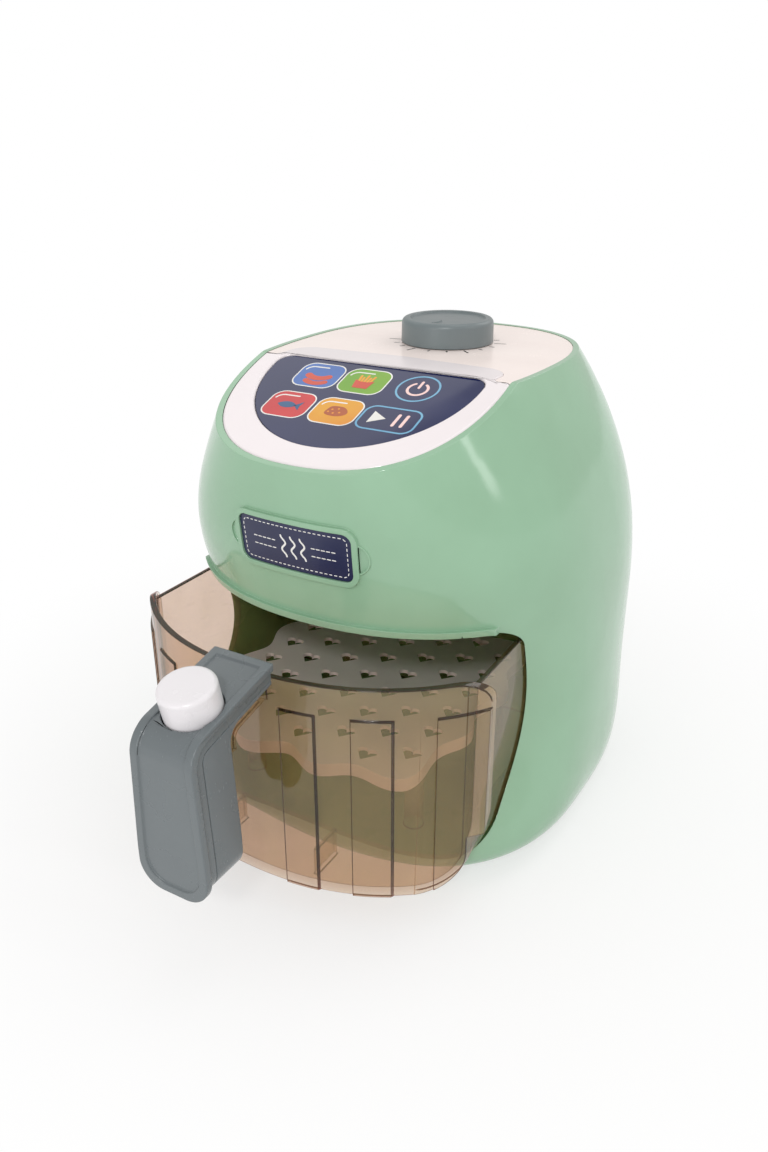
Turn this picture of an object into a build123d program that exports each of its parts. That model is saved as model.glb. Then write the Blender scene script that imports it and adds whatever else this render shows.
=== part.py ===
"""Toy air fryer: moulded body, sliding clear drawer, turning knob and a push button in the handle.

Millimetres. Z is up, the drawer opens towards -Y. The origin is the centre of the base, on the floor.
The drawer is drawn in its closed place and then stands pulled out by drawer_out.
"""

import os
from math import copysign, cos, pi, radians, sin, tan

from build123d import *

os.makedirs("parts", exist_ok=True)

# Overall size of the body
body_height = 192.5
belly_half = 91.0
belly_front = 100.5
belly_rear = 95.0
widest_y = -5.0
rear_roundness = 2.4
outline_points = 24
wall = 2.4
foot_lift = 1.0

# The roof: flat behind the brow, sloping down in front of it
brow_y = -42.0
roof_slope = 19.5
brow_radius = 8.0
panel_thickness = 3.0
lip_proud = 0.3
bezel_thickness = 2.0
bezel_proud = 0.6
lens_thickness = 1.2

# The drawer's mouth in the body
mouth_half = 74.0
mouth_bottom = 14.0
mouth_top = 107.0
mouth_top_radius = 9.0
mouth_bottom_radius = 16.0

# The drawer
drawer_out = 34.0
drawer_gap = 0.8
tub_wall = 2.0
tub_rear = 52.0
tub_corner = 30.0
tub_rim = 100.5
front_plate = 2.4
front_seat = 0.8
front_clear = 0.5
front_overlap = 4.0
front_rim = 104.0
front_corner = 10.0
front_half = mouth_half + front_overlap

# Clearances
slide_gap = 0.3
seat_gap = 0.05
turn_gap = 0.05
fit_gap = 0.2

# Places that follow from the sizes above
slope_rise = tan(radians(roof_slope))
slope_cos = cos(radians(roof_slope))
far = 160.0
slope_plane = Plane(
    origin=(0, brow_y, body_height),
    x_dir=(1, 0, 0),
    z_dir=(0, -sin(radians(roof_slope)), slope_cos),
)
slope_axis = Axis(slope_plane.origin, slope_plane.z_dir)

# Body outline, station by station: height, how far it draws in from the belly
# at the side, front and rear, and how square its front half is
stations = (
    (0, 5.0, 3.5, -2.0, 2.2),
    (45, 0.0, 0.0, 0.0, 2.2),
    (mouth_top, 0.8, 0.0, 2.0, 2.2),
    (body_height - 42.5, 9.5, -6.0, 10.0, 2.5),
    (body_height - 17.5, 20.5, -8.0, 19.5, 2.3),
    (body_height, 31.0, -8.5, 29.5, 2.25),
    (body_height + 8, 37.0, -8.0, 35.0, 2.2),
)


def power_curve(half, front, rear, front_squareness):
    """Closed rounded outline; front and rear are reaches from the Y origin."""
    points = []
    for step in range(outline_points):
        angle = 2 * pi * step / outline_points
        across = cos(angle)
        along = sin(angle)
        roundness = front_squareness if along < 0 else rear_roundness
        reach = front + widest_y if along < 0 else rear - widest_y
        x = half * copysign(abs(across) ** (2 / roundness), across)
        y = widest_y + reach * copysign(abs(along) ** (2 / roundness), along)
        points.append((x, y))
    return points


def hull(grow=0.0):
    """The body's whole outer form, grown outwards by grow."""
    with BuildPart() as form:
        for height, side_in, front_in, rear_in, squareness in stations:
            half = belly_half - side_in + grow
            front = belly_front - front_in + grow
            rear = belly_rear - rear_in + grow
            with BuildSketch(Plane.XY.offset(height)):
                with BuildLine():
                    Spline(*power_curve(half, front, rear, squareness), periodic=True)
                make_face()
        loft()
    return form.part


def roof_line(drop):
    """The roof's profile, lowered by drop, from behind the body to in front of it."""
    top = body_height - drop
    return (
        (far, top),
        (brow_y, top),
        (-far, top - (brow_y + far) * slope_rise),
    )


def above_roof(drop=0.0):
    """Everything above the roof surface lowered by drop."""
    line = roof_line(drop)
    with BuildPart() as over:
        with BuildSketch(Plane.YZ):
            with BuildLine():
                FilletPolyline(*line, radius=brow_radius)
                Polyline(line[-1], (-far, body_height + far), (far, body_height + far), line[0])
            make_face()
        extrude(amount=far, both=True)
    return over.part


def block(x0, x1, y0, y1, z0, z1):
    """A plain box between two corners, as a cutter or a rib."""
    middle = Pos((x0 + x1) / 2, (y0 + y1) / 2, (z0 + z1) / 2)
    return middle * Box(x1 - x0, y1 - y0, z1 - z0, mode=Mode.PRIVATE)


def column(x, y, z0, z1, radius):
    """An upright round column from z0 to z1."""
    return Pos(x, y, (z0 + z1) / 2) * Cylinder(radius, z1 - z0, mode=Mode.PRIVATE)


def both_sides(places):
    """The same places on the right and on the left."""
    return [(side * x, y) for x, y in places for side in (1, -1)]


# Screws
screw_head = 2.6
screw_shank = 1.25
screw_pilot = screw_shank + turn_gap
head_height = 1.6
head_edge = 0.4
slot_width = 0.7
slot_length = 2.6
slot_depth = 0.9
tip_edge = 0.5


def screw(length):
    """A pan head screw, its seat at the origin, the shank pointing up."""
    with BuildPart() as body:
        with BuildSketch(Plane.XY.offset(-head_height)):
            Circle(screw_head)
        extrude(amount=head_height)
        chamfer(body.edges().group_by(Axis.Z)[0], head_edge)
        with BuildSketch(Plane.XY.offset(-head_height)):
            Rectangle(slot_length, slot_width)
            Rectangle(slot_width, slot_length)
        extrude(amount=slot_depth, mode=Mode.SUBTRACT)
        with BuildSketch():
            Circle(screw_shank)
        extrude(amount=length)
        chamfer(body.edges().group_by(Axis.Z)[-1], tip_edge)
    return body.part


body_form = hull()
body_hollow = hull(-wall)
inner_form = hull(-wall - fit_gap)

# Nameplate and its raised frame on the front
plate_half = 24.4
plate_height = 19.0
plate_over_mouth = 22.3
plate_low = mouth_top + plate_over_mouth
plate_high = plate_low + plate_height
plate_corner = 3.5
frame_width = 2.2
frame_proud = 1.6
plate_proud = 0.8

# Screw places in the body
base_boss_places = ((42.0, -77.0), (46.0, 66.0))
boss_radius = 3.5
boss_rise = 13.0
rib_half = 1.0
bay_screw_places = ((30.0, 25.0), (50.0, -40.0))
ear_places = ((48.0, 5.0), (25.0, 50.0), (18.0, -94.0))
ear_depth = 9.0
ear_thickness = 3.0
ear_radius = 5.0
ear_rib_half = 4.0
post_radius = 3.0
pilot_depth = 8.0

base_top = foot_lift + 2.6
bay_wall = 2.0
bay_floor = mouth_bottom - 3.5
bay_inner_floor = bay_floor + bay_wall
bay_half = mouth_half + 0.4
bay_rear = tub_rear + 1.5
bay_corner = tub_corner + 1.5
bay_ceiling = mouth_top + 1.0


def roof_height(y):
    """Height of the roof surface at y."""
    return body_height - max(0.0, brow_y - y) * slope_rise


def mouth_view(grow=0.0):
    """The drawer's mouth, seen from the front."""
    with BuildSketch() as view:
        with Locations((0, (mouth_bottom + mouth_top) / 2)):
            Rectangle(2 * (mouth_half + grow), mouth_top - mouth_bottom + 2 * grow)
        fillet(view.vertices().group_by(Axis.Y)[-1], mouth_top_radius + grow)
        fillet(view.vertices().group_by(Axis.Y)[0], mouth_bottom_radius + grow)
    return view.sketch


def plate_view(grow=0.0):
    """The nameplate, seen from the front."""
    with BuildSketch() as view:
        with Locations((0, (plate_low + plate_high) / 2)):
            RectangleRounded(
                2 * (plate_half + grow), plate_high - plate_low + 2 * grow, plate_corner + grow
            )
    return view.sketch


def outline_view(grow=0.0, station=1):
    """The body's outline at one station, seen from above."""
    side_in, front_in, rear_in, squareness = stations[station][1:]
    half = belly_half - side_in + grow
    front = belly_front - front_in + grow
    rear = belly_rear - rear_in + grow
    with BuildSketch() as view:
        with BuildLine():
            Spline(*power_curve(half, front, rear, squareness), periodic=True)
        make_face()
    return view.sketch


# Bead over the mouth, fading out before its right and left corners
bead_proud = 1.8
bead_height = 3.0
bead_half = 68.0
with BuildPart() as bead:
    add(hull(bead_proud))
    add(body_hollow, mode=Mode.SUBTRACT)
    with BuildSketch(Plane.XZ):
        add(mouth_view(bead_height))
        add(mouth_view(), mode=Mode.SUBTRACT)
        with Locations((0, mouth_top)):
            Rectangle(2 * bead_half, 2 * bead_height, mode=Mode.INTERSECT)
    extrude(amount=far, mode=Mode.INTERSECT)

# Raised frame for the nameplate
with BuildPart() as plate_frame:
    add(hull(frame_proud))
    add(body_hollow, mode=Mode.SUBTRACT)
    with BuildSketch(Plane.XZ):
        add(plate_view(frame_width))
        add(plate_view(fit_gap / 2), mode=Mode.SUBTRACT)
    extrude(amount=far, mode=Mode.INTERSECT)

# Thin raised arcs on both sides of the frame
ear_mark_radius = 6.0
ear_mark_proud = 0.7
with BuildPart() as plate_ears:
    add(hull(ear_mark_proud))
    add(body_hollow, mode=Mode.SUBTRACT)
    with BuildSketch(Plane.XZ):
        with Locations(*[(side * plate_half, (plate_low + plate_high) / 2) for side in (1, -1)]):
            Circle(ear_mark_radius + ear_mark_proud / 2)
            Circle(ear_mark_radius - ear_mark_proud / 2, mode=Mode.SUBTRACT)
        add(plate_view(frame_width / 2), mode=Mode.SUBTRACT)
    extrude(amount=far, mode=Mode.INTERSECT)

# Bosses that take the base screws, ears that take the panel screws, each on a rib to the wall
with BuildPart() as shell_bosses:
    for x, y in both_sides(base_boss_places):
        reach = copysign(far, y)
        boss_top = bay_floor - slide_gap if y < 0 else bay_floor + boss_rise
        add(column(x, y, base_top, boss_top, boss_radius))
        add(block(x - rib_half, x + rib_half, min(y, reach), max(y, reach), base_top, boss_top))
    for x, y in both_sides(ear_places):
        ear_top = roof_height(y) - panel_thickness - ear_depth
        add(column(x, y, ear_top - ear_thickness, ear_top, ear_radius))
        if abs(x) > abs(y):
            reach = copysign(far, x)
            across = (min(x, reach), max(x, reach), y - ear_rib_half, y + ear_rib_half)
        else:
            reach = copysign(far, y)
            across = (x - ear_rib_half, x + ear_rib_half, min(y, reach), max(y, reach))
        add(block(*across, ear_top - ear_thickness, ear_top))
    add(hull(-wall / 2), mode=Mode.INTERSECT)
    for x, y in both_sides(base_boss_places):
        add(column(x, y, 0, base_top + pilot_depth, screw_pilot), mode=Mode.SUBTRACT)
    for x, y in both_sides(ear_places):
        ear_top = roof_height(y) - panel_thickness - ear_depth
        add(column(x, y, ear_top - far / 4, ear_top + 1, screw_pilot), mode=Mode.SUBTRACT)

# Outer shell
with BuildPart() as outer_shell:
    add(body_form)
    add(body_hollow, mode=Mode.SUBTRACT)
    add(bead.part)
    add(plate_frame.part)
    add(plate_ears.part)
    add(above_roof(-lip_proud), mode=Mode.SUBTRACT)
    add(shell_bosses.part)
    with BuildSketch(Plane.XZ):
        add(mouth_view())
    extrude(amount=far, mode=Mode.SUBTRACT)
    add(block(-far, far, -far, far, -far, foot_lift), mode=Mode.SUBTRACT)
outer_shell.part.label = "outer_shell"
export_step(outer_shell.part, "parts/outer_shell.step")

# Nameplate: bare plate that sits in its frame on the shell
with BuildPart() as nameplate:
    add(hull(plate_proud))
    add(hull(2 * seat_gap), mode=Mode.SUBTRACT)
    with BuildSketch(Plane.XZ):
        add(plate_view())
    extrude(amount=far, mode=Mode.INTERSECT)
nameplate.part.label = "nameplate"
export_step(nameplate.part, "parts/nameplate.step")

# Bezel on the sloping roof: its plan runs behind the brow as a tab with round shoulders
bezel_shoulder = 48.0
bezel_wing_y = brow_y - 1.0
bezel_tab_y = brow_y + 16.0
bezel_back_y = brow_y + 19.0
bezel_bends = (3, 10, 60, 10, 3)
lens_half = 46.3
lens_reach = 49.5
lens_corner = 6.0
lens_ledge = 4.0
lens_floor = bezel_thickness - bezel_proud


def bezel_view(grow=0.0):
    """The bezel's plan, open to the front; its edge there is the body's own outline."""
    with BuildSketch() as view:
        with BuildLine():
            FilletPolyline(
                (-far, bezel_wing_y),
                (-bezel_shoulder, bezel_wing_y),
                (-bezel_shoulder, bezel_tab_y),
                (0, bezel_back_y),
                (bezel_shoulder, bezel_tab_y),
                (bezel_shoulder, bezel_wing_y),
                (far, bezel_wing_y),
                radius=bezel_bends,
            )
            Polyline((far, bezel_wing_y), (far, -far), (-far, -far), (-far, bezel_wing_y))
        make_face()
        if grow:
            offset(amount=grow)
    return view.sketch


def lens_view(grow=0.0):
    """The display's D outline on the slope: straight back edge, round corners, elliptical front."""
    half = lens_half + grow
    corner = lens_corner + grow
    with BuildSketch() as view:
        with BuildLine():
            EllipticalCenterArc((0, -lens_corner), half, lens_reach + grow, 180, arc_size=180)
            CenterArc((half - corner, -lens_corner), corner, 0, 90)
            Line((half - corner, grow), (corner - half, grow))
            CenterArc((corner - half, -lens_corner), corner, 90, 90)
        make_face()
    return view.sketch


# Top panel: the white roof moulding, with posts for its screws and a window under the display
knob_y = 15.2
stem_radius = 3.95
stem_hole = stem_radius + turn_gap
hub_radius = 7.0
hub_drop = 4.0
panel_under = body_height - panel_thickness
spring_post_x = 15.0
spring_post_y = knob_y - 11.0
spring_post_radius = 2.5
spring_post_low = panel_under - hub_drop - 1.0
with BuildPart() as panel_posts:
    for x, y in both_sides(ear_places):
        ear_top = roof_height(y) - panel_thickness - ear_depth
        add(column(x, y, ear_top, body_height, post_radius))
    add(column(0, knob_y, panel_under - hub_drop, body_height, hub_radius))
    add(column(spring_post_x, spring_post_y, spring_post_low, body_height, spring_post_radius))
    add(above_roof(panel_thickness / 2 + lens_floor / 2), mode=Mode.SUBTRACT)
    for x, y in both_sides(ear_places):
        add(column(x, y, 0, roof_height(y) - panel_thickness, screw_pilot), mode=Mode.SUBTRACT)
    add(
        column(spring_post_x, spring_post_y, 0, panel_under, screw_pilot),
        mode=Mode.SUBTRACT,
    )

board_places = ((42.5, -12.0), (31.0, -41.0))
board_depth = 10.4
board_pilot_depth = 6.0
with BuildPart() as board_posts:
    with BuildSketch(slope_plane.offset(-board_depth)):
        with Locations(*both_sides(board_places)):
            Circle(post_radius)
    extrude(amount=board_depth - lens_floor)
    with BuildSketch(slope_plane.offset(-board_depth)):
        with Locations(*both_sides(board_places)):
            Circle(screw_pilot)
    extrude(amount=board_pilot_depth, mode=Mode.SUBTRACT)

with BuildPart() as bezel_pocket:
    add(above_roof(lens_floor))
    with BuildSketch():
        add(bezel_view())
    extrude(amount=2 * far, mode=Mode.INTERSECT)

panel_form = hull(-wall - fit_gap)
with BuildPart() as top_panel:
    add(panel_form)
    add(above_roof(), mode=Mode.SUBTRACT)
    add(above_roof(panel_thickness), mode=Mode.INTERSECT)
    add(panel_posts.part)
    with BuildSketch(slope_plane.offset(-2 * panel_thickness)):
        add(lens_view(-lens_ledge))
    extrude(amount=4 * panel_thickness, mode=Mode.SUBTRACT)
    add(board_posts.part)
    add(bezel_pocket.part, mode=Mode.SUBTRACT)
    add(column(0, knob_y, 0, 2 * far, stem_hole), mode=Mode.SUBTRACT)
top_panel.part.label = "top_panel"
export_step(top_panel.part, "parts/top_panel.step")

# Control bezel: raised white frame round the display
with BuildPart() as control_bezel:
    add(panel_form)
    with BuildSketch():
        add(bezel_view(-fit_gap / 2))
    extrude(amount=2 * far, mode=Mode.INTERSECT)
    add(above_roof(-bezel_proud), mode=Mode.SUBTRACT)
    add(above_roof(lens_floor - seat_gap), mode=Mode.INTERSECT)
    with BuildSketch(slope_plane.offset(-far)):
        add(lens_view(fit_gap))
    extrude(amount=2 * far, mode=Mode.SUBTRACT)
control_bezel.part.label = "control_bezel"
export_step(control_bezel.part, "parts/control_bezel.step")

# Display lens: one flat clear film over the print, on the ledge of the top panel
lens_base = seat_gap - lens_floor * slope_cos
lens_edge = 0.2
with BuildPart() as display_lens:
    with BuildSketch(slope_plane.offset(lens_base)):
        add(lens_view())
    extrude(amount=lens_thickness)
    chamfer(display_lens.faces().sort_by(slope_axis)[-1].edges(), lens_edge)
display_lens.part.label = "display_lens"
export_step(display_lens.part, "parts/display_lens.step")

# Touch fields: key pad, circuit board, lamps and sound chip behind the lens
field_pitch_x = 22.0
field_pitch_y = 21.2
field_middle = -22.2
board_half = 47.0
board_low_half = 36.0
board_low = -45.0
board_shoulder = -22.0
board_high = -6.0
board_corner = 4.0
board_thickness = 1.6
pad_sheet = 1.2
dome_radius = 4.6
lamp_shift = 8.0
lamp_radius = 1.5
board_top = slope_plane.offset(-board_depth)


def field_places(shift=0.0):
    """Centres of the six touch fields on the slope, moved sideways by shift."""
    return [
        (column_step * field_pitch_x + shift, field_middle + row_step * field_pitch_y / 2)
        for column_step in (-1, 0, 1)
        for row_step in (-1, 1)
    ]


with BuildPart() as circuit_board:
    with BuildSketch(slope_plane.offset(-board_depth - board_thickness)) as board_plan:
        with BuildLine():
            Polyline(
                (-board_half, board_high),
                (-board_half, board_shoulder),
                (-board_low_half, board_low),
                (board_low_half, board_low),
                (board_half, board_shoulder),
                (board_half, board_high),
                close=True,
            )
        make_face()
        fillet(board_plan.vertices(), board_corner)
        with Locations(*both_sides(board_places)):
            Circle(screw_pilot, mode=Mode.SUBTRACT)
    extrude(amount=board_thickness)
circuit_board.part.label = "circuit_board"
export_step(circuit_board.part, "parts/circuit_board.step")

pad_half = 32.5
pad_high = -6.8
pad_low = -37.8
pad_corner = 4.0
dome_taper = 6
with BuildPart() as key_pad:
    with BuildSketch(board_top.offset(seat_gap)):
        with Locations((0, (pad_low + pad_high) / 2)):
            RectangleRounded(2 * pad_half, pad_high - pad_low, pad_corner)
        with Locations(*field_places(lamp_shift)):
            Circle(lamp_radius + fit_gap, mode=Mode.SUBTRACT)
    extrude(amount=pad_sheet)
    with BuildSketch(board_top.offset(seat_gap)):
        with Locations(*field_places()):
            Circle(dome_radius)
    extrude(amount=board_depth + lens_base - slide_gap - seat_gap, taper=dome_taper)
key_pad.part.label = "key_pad"
export_step(key_pad.part, "parts/key_pad.step")

lamp_height = 3.0
with BuildPart() as indicator_leds:
    with BuildSketch(board_top.offset(seat_gap)):
        with Locations(*field_places(lamp_shift)):
            Circle(lamp_radius)
    extrude(amount=lamp_height)
    fillet(indicator_leds.edges().group_by(slope_axis)[-1], lamp_radius / 2)
indicator_leds.part.label = "indicator_leds"
export_step(indicator_leds.part, "parts/indicator_leds.step")

chip_radius = 5.0
chip_height = 1.8
chip_taper = 25
with BuildPart() as sound_chip:
    with BuildSketch(slope_plane.offset(-board_depth - board_thickness - seat_gap)):
        with Locations((0, field_middle)):
            Circle(chip_radius)
    extrude(amount=-chip_height, taper=chip_taper)
sound_chip.part.label = "sound_chip"
export_step(sound_chip.part, "parts/sound_chip.step")

# Timer knob: straight sides, rounded rim, dished top with a pointer rib, and its stem
knob_radius = 20.0
knob_height = 10.2
knob_gap = 0.3
knob_rim = 2.2
dish_radius = 16.0
dish_depth = 0.9
pointer_length = 8.0
pointer_width = 1.6
pointer_inset = 1.5
knob_base = body_height + knob_gap
knob_top = knob_base + knob_height
stem_low = panel_under - hub_drop - 4.5
with BuildPart() as timer_knob:
    with BuildSketch(Plane.XY.offset(knob_base)):
        with Locations((0, knob_y)):
            Circle(knob_radius)
    extrude(amount=knob_height, taper=1)
    fillet(timer_knob.edges().group_by(Axis.Z)[-1], knob_rim)
    with BuildSketch(Plane.XY.offset(knob_top - dish_depth)):
        with Locations((0, knob_y)):
            Circle(dish_radius)
    extrude(amount=2 * dish_depth, taper=-20, mode=Mode.SUBTRACT)
    with BuildSketch(Plane.XY.offset(knob_top - dish_depth)):
        with Locations((0, knob_y - dish_radius + pointer_length / 2 + pointer_inset)):
            SlotOverall(pointer_length, pointer_width, rotation=90)
    extrude(amount=dish_depth * 0.8)
    with BuildSketch(Plane.XY.offset(stem_low)):
        with Locations((0, knob_y)):
            Circle(stem_radius)
            Circle(screw_pilot, mode=Mode.SUBTRACT)
    extrude(amount=knob_base - stem_low)
timer_knob.part.label = "timer_knob"
export_step(timer_knob.part, "parts/timer_knob.step")

# Ratchet wheel on the stem, its screw, and the click spring that touches its teeth
ratchet_radius = 9.0
ratchet_teeth = 20
tooth_radius = 1.0
ratchet_height = 3.0
ratchet_top = panel_under - hub_drop - slide_gap
with BuildPart() as knob_ratchet:
    with BuildSketch(Plane.XY.offset(ratchet_top - ratchet_height)):
        with Locations((0, knob_y)):
            Circle(ratchet_radius)
            with PolarLocations(ratchet_radius, ratchet_teeth):
                Circle(tooth_radius, mode=Mode.SUBTRACT)
            Circle(stem_hole, mode=Mode.SUBTRACT)
    extrude(amount=ratchet_height)
knob_ratchet.part.label = "knob_ratchet"
export_step(knob_ratchet.part, "parts/knob_ratchet.step")

washer_radius = 5.5
washer_height = 0.8
knob_screw_length = 10.0
with BuildPart() as knob_screw:
    with BuildSketch(Plane.XY.offset(stem_low - seat_gap - washer_height)):
        with Locations((0, knob_y)):
            Circle(washer_radius)
    extrude(amount=washer_height)
    with Locations((0, knob_y, stem_low - seat_gap - washer_height)):
        add(screw(knob_screw_length))
knob_screw.part.label = "knob_screw"
export_step(knob_screw.part, "parts/knob_screw.step")

leaf_thickness = 0.6
leaf_x = ratchet_radius + slide_gap + tooth_radius / 2
leaf_length = 14.0
leaf_offset = 0.4
leaf_foot_width = 6.0
leaf_foot_corner = 1.2
leaf_foot_overhang = 3.2
leaf_root_half = 2.0
leaf_base = ratchet_top - ratchet_height + slide_gap
with BuildPart() as click_spring:
    with BuildSketch(Plane.XY.offset(leaf_base)):
        with Locations((leaf_x + leaf_thickness / 2 + leaf_offset, spring_post_y + leaf_length / 2)):
            Rectangle(leaf_thickness, leaf_length)
        with Locations((leaf_x + leaf_offset / 2, knob_y)):
            Circle(tooth_radius / 2)
    extrude(amount=ratchet_height - 2 * slide_gap)
    with BuildSketch(Plane.XY.offset(spring_post_low - seat_gap - leaf_thickness)):
        with Locations(((leaf_x + spring_post_x + leaf_foot_overhang) / 2, spring_post_y)):
            RectangleRounded(
                spring_post_x - leaf_x + leaf_foot_overhang, leaf_foot_width, leaf_foot_corner
            )
        with Locations((spring_post_x, spring_post_y)):
            Circle(screw_pilot, mode=Mode.SUBTRACT)
    extrude(amount=leaf_thickness)
    add(
        block(
            leaf_x + leaf_offset,
            leaf_x + leaf_offset + leaf_thickness,
            spring_post_y - leaf_root_half,
            spring_post_y + leaf_root_half,
            leaf_base,
            spring_post_low - seat_gap,
        )
    )
click_spring.part.label = "click_spring"
export_step(click_spring.part, "parts/click_spring.step")

click_screw_length = 5.0
with BuildPart() as click_screw:
    with Locations(
        (spring_post_x, spring_post_y, spring_post_low - 2 * seat_gap - leaf_thickness)
    ):
        add(screw(click_screw_length))
click_screw.part.label = "click_screw"
export_step(click_screw.part, "parts/click_screw.step")

# Screws of the board and of the top panel
board_screw_length = 6.0
panel_screw_length = 9.0
with BuildPart() as board_screws:
    with Locations(slope_plane.offset(-board_depth - board_thickness - seat_gap)):
        with Locations(*both_sides(board_places)):
            add(screw(board_screw_length))
board_screws.part.label = "board_screws"
export_step(board_screws.part, "parts/board_screws.step")

with BuildPart() as panel_screws:
    for x, y in both_sides(ear_places):
        ear_under = roof_height(y) - panel_thickness - ear_depth - ear_thickness
        with Locations((x, y, ear_under - seat_gap)):
            add(screw(panel_screw_length))
panel_screws.part.label = "panel_screws"
export_step(panel_screws.part, "parts/panel_screws.step")

# Base plate: floor of the body, with the battery pocket, the speaker grille and the screw tubes
cell_radius = 7.25
cell_length = 49.5
cell_gap = 0.3
pocket_wall = 1.2
pocket_half = cell_length / 2 + 3.4
pocket_front = bay_rear + bay_wall + 1.0
pocket_rear = pocket_front + 4 * cell_radius + 3 * cell_gap + 2 * pocket_wall
cover_thickness = 1.6
cover_lip = 2.6
pocket_top = foot_lift + cover_thickness + 2 * cell_radius + 3 * cell_gap
tube_top = bay_floor - 4.0
tube_radius = 4.0
foot_radius = 7.0
foot_sink = 1.0
foot_edge = 0.5
foot_places = ((50.0, 50.0), (50.0, -60.0))
speaker_y = -52.0
speaker_radius = 14.0
grille_rings = ((3.5, 6), (7.0, 12), (10.5, 18))
grille_hole = 1.1
grille_wall = 1.2
grille_ring_height = 2.5
cover_screw_y = pocket_front - 6.0
cover_corner = 2.0
tab_width = 12.0
tab_length = 16.0
tab_corner = 3.0
tab_middle = cover_screw_y + 2.0
with BuildPart() as base_plate:
    add(inner_form)
    add(block(-far, far, -far, far, base_top, 2 * far), mode=Mode.SUBTRACT)
    add(block(-far, far, -far, far, -far, foot_lift), mode=Mode.SUBTRACT)
    add(
        block(
            -pocket_half - pocket_wall,
            pocket_half + pocket_wall,
            pocket_front,
            pocket_rear,
            foot_lift,
            pocket_top + pocket_wall,
        )
    )
    add(column(0, cover_screw_y, foot_lift, bay_floor - slide_gap, tube_radius))
    for x, y in both_sides(bay_screw_places):
        add(column(x, y, foot_lift, tube_top, tube_radius))
    # the pocket itself, open below, and the rebate of its cover
    add(
        block(
            -pocket_half,
            pocket_half,
            pocket_front + pocket_wall,
            pocket_rear - pocket_wall,
            0,
            pocket_top,
        ),
        mode=Mode.SUBTRACT,
    )
    with BuildSketch():
        with Locations((0, (pocket_front + pocket_rear) / 2)):
            RectangleRounded(2 * (pocket_half + cover_lip), pocket_rear - pocket_front, cover_corner)
        with Locations((0, tab_middle)):
            RectangleRounded(tab_width, tab_length, tab_corner)
    extrude(amount=foot_lift + cover_thickness, mode=Mode.SUBTRACT)
    # screw holes with sunk seats
    for x, y in both_sides(bay_screw_places + base_boss_places):
        add(column(x, y, 0, far, screw_pilot), mode=Mode.SUBTRACT)
        add(column(x, y, 0, foot_lift + head_height, screw_head + fit_gap), mode=Mode.SUBTRACT)
    add(column(0, cover_screw_y, 0, far, screw_pilot), mode=Mode.SUBTRACT)
    for x, y in both_sides(foot_places):
        add(column(x, y, 0, foot_lift + foot_sink, foot_radius + fit_gap), mode=Mode.SUBTRACT)
    with BuildSketch():
        with Locations((0, speaker_y)):
            Circle(grille_hole)
            for ring, count in grille_rings:
                with PolarLocations(ring, count):
                    Circle(grille_hole)
    extrude(amount=base_top, mode=Mode.SUBTRACT)
    # ring that centres the speaker
    with BuildSketch(Plane.XY.offset(base_top)):
        with Locations((0, speaker_y)):
            Circle(speaker_radius + fit_gap + grille_wall)
            Circle(speaker_radius + fit_gap, mode=Mode.SUBTRACT)
    extrude(amount=grille_ring_height)
base_plate.part.label = "base_plate"
export_step(base_plate.part, "parts/base_plate.step")

base_screw_length = 6.5
bay_screw_length = 9.0
with BuildPart() as base_screws:
    for x, y in both_sides(base_boss_places):
        with Locations((x, y, foot_lift + head_height - seat_gap)):
            add(screw(base_screw_length))
base_screws.part.label = "base_screws"
export_step(base_screws.part, "parts/base_screws.step")

with BuildPart() as bay_screws:
    for x, y in both_sides(bay_screw_places):
        with Locations((x, y, foot_lift + head_height - seat_gap)):
            add(screw(bay_screw_length))
bay_screws.part.label = "bay_screws"
export_step(bay_screws.part, "parts/bay_screws.step")

with BuildPart() as rubber_feet:
    for x, y in both_sides(foot_places):
        add(column(x, y, 0, foot_lift + foot_sink - seat_gap, foot_radius))
    chamfer(rubber_feet.edges().group_by(Axis.Z)[0], foot_edge)
rubber_feet.part.label = "rubber_feet"
export_step(rubber_feet.part, "parts/rubber_feet.step")

# Battery cover with its screw tab, the cells and their contacts
cover_screw_seat = 0.8
cover_head_height = 0.7
cover_screw_length = 7.0
grip_line_width = 1.2
grip_line_length = 6.0
grip_line_depth = 0.5
grip_line_pitch = 5.0
grip_line_count = 9
grip_line_y = pocket_rear - 7.0
with BuildPart() as battery_cover:
    with BuildSketch(Plane.XY.offset(foot_lift)):
        with Locations((0, (pocket_front + pocket_rear) / 2)):
            RectangleRounded(
                2 * (pocket_half + cover_lip - fit_gap),
                pocket_rear - pocket_front - 2 * fit_gap,
                cover_corner,
            )
        with Locations((0, tab_middle)):
            RectangleRounded(tab_width - 2 * fit_gap, tab_length - 2 * fit_gap, tab_corner)
    extrude(amount=cover_thickness - seat_gap)
    add(column(0, cover_screw_y, 0, far, screw_pilot), mode=Mode.SUBTRACT)
    add(
        column(0, cover_screw_y, 0, foot_lift + cover_screw_seat, screw_head + fit_gap),
        mode=Mode.SUBTRACT,
    )
    with BuildSketch(Plane.XY.offset(foot_lift)):
        with Locations((0, grip_line_y)):
            with GridLocations(grip_line_pitch, 0, grip_line_count, 1):
                Rectangle(grip_line_width, grip_line_length)
    extrude(amount=grip_line_depth, mode=Mode.SUBTRACT)
battery_cover.part.label = "battery_cover"
export_step(battery_cover.part, "parts/battery_cover.step")

with BuildPart() as cover_screw:
    with Locations((0, cover_screw_y, foot_lift + cover_screw_seat - seat_gap)):
        Cylinder(screw_head, cover_head_height, align=(Align.CENTER, Align.CENTER, Align.MAX))
        Cylinder(screw_shank, cover_screw_length, align=(Align.CENTER, Align.CENTER, Align.MIN))
cover_screw.part.label = "cover_screw"
export_step(cover_screw.part, "parts/cover_screw.step")

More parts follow.
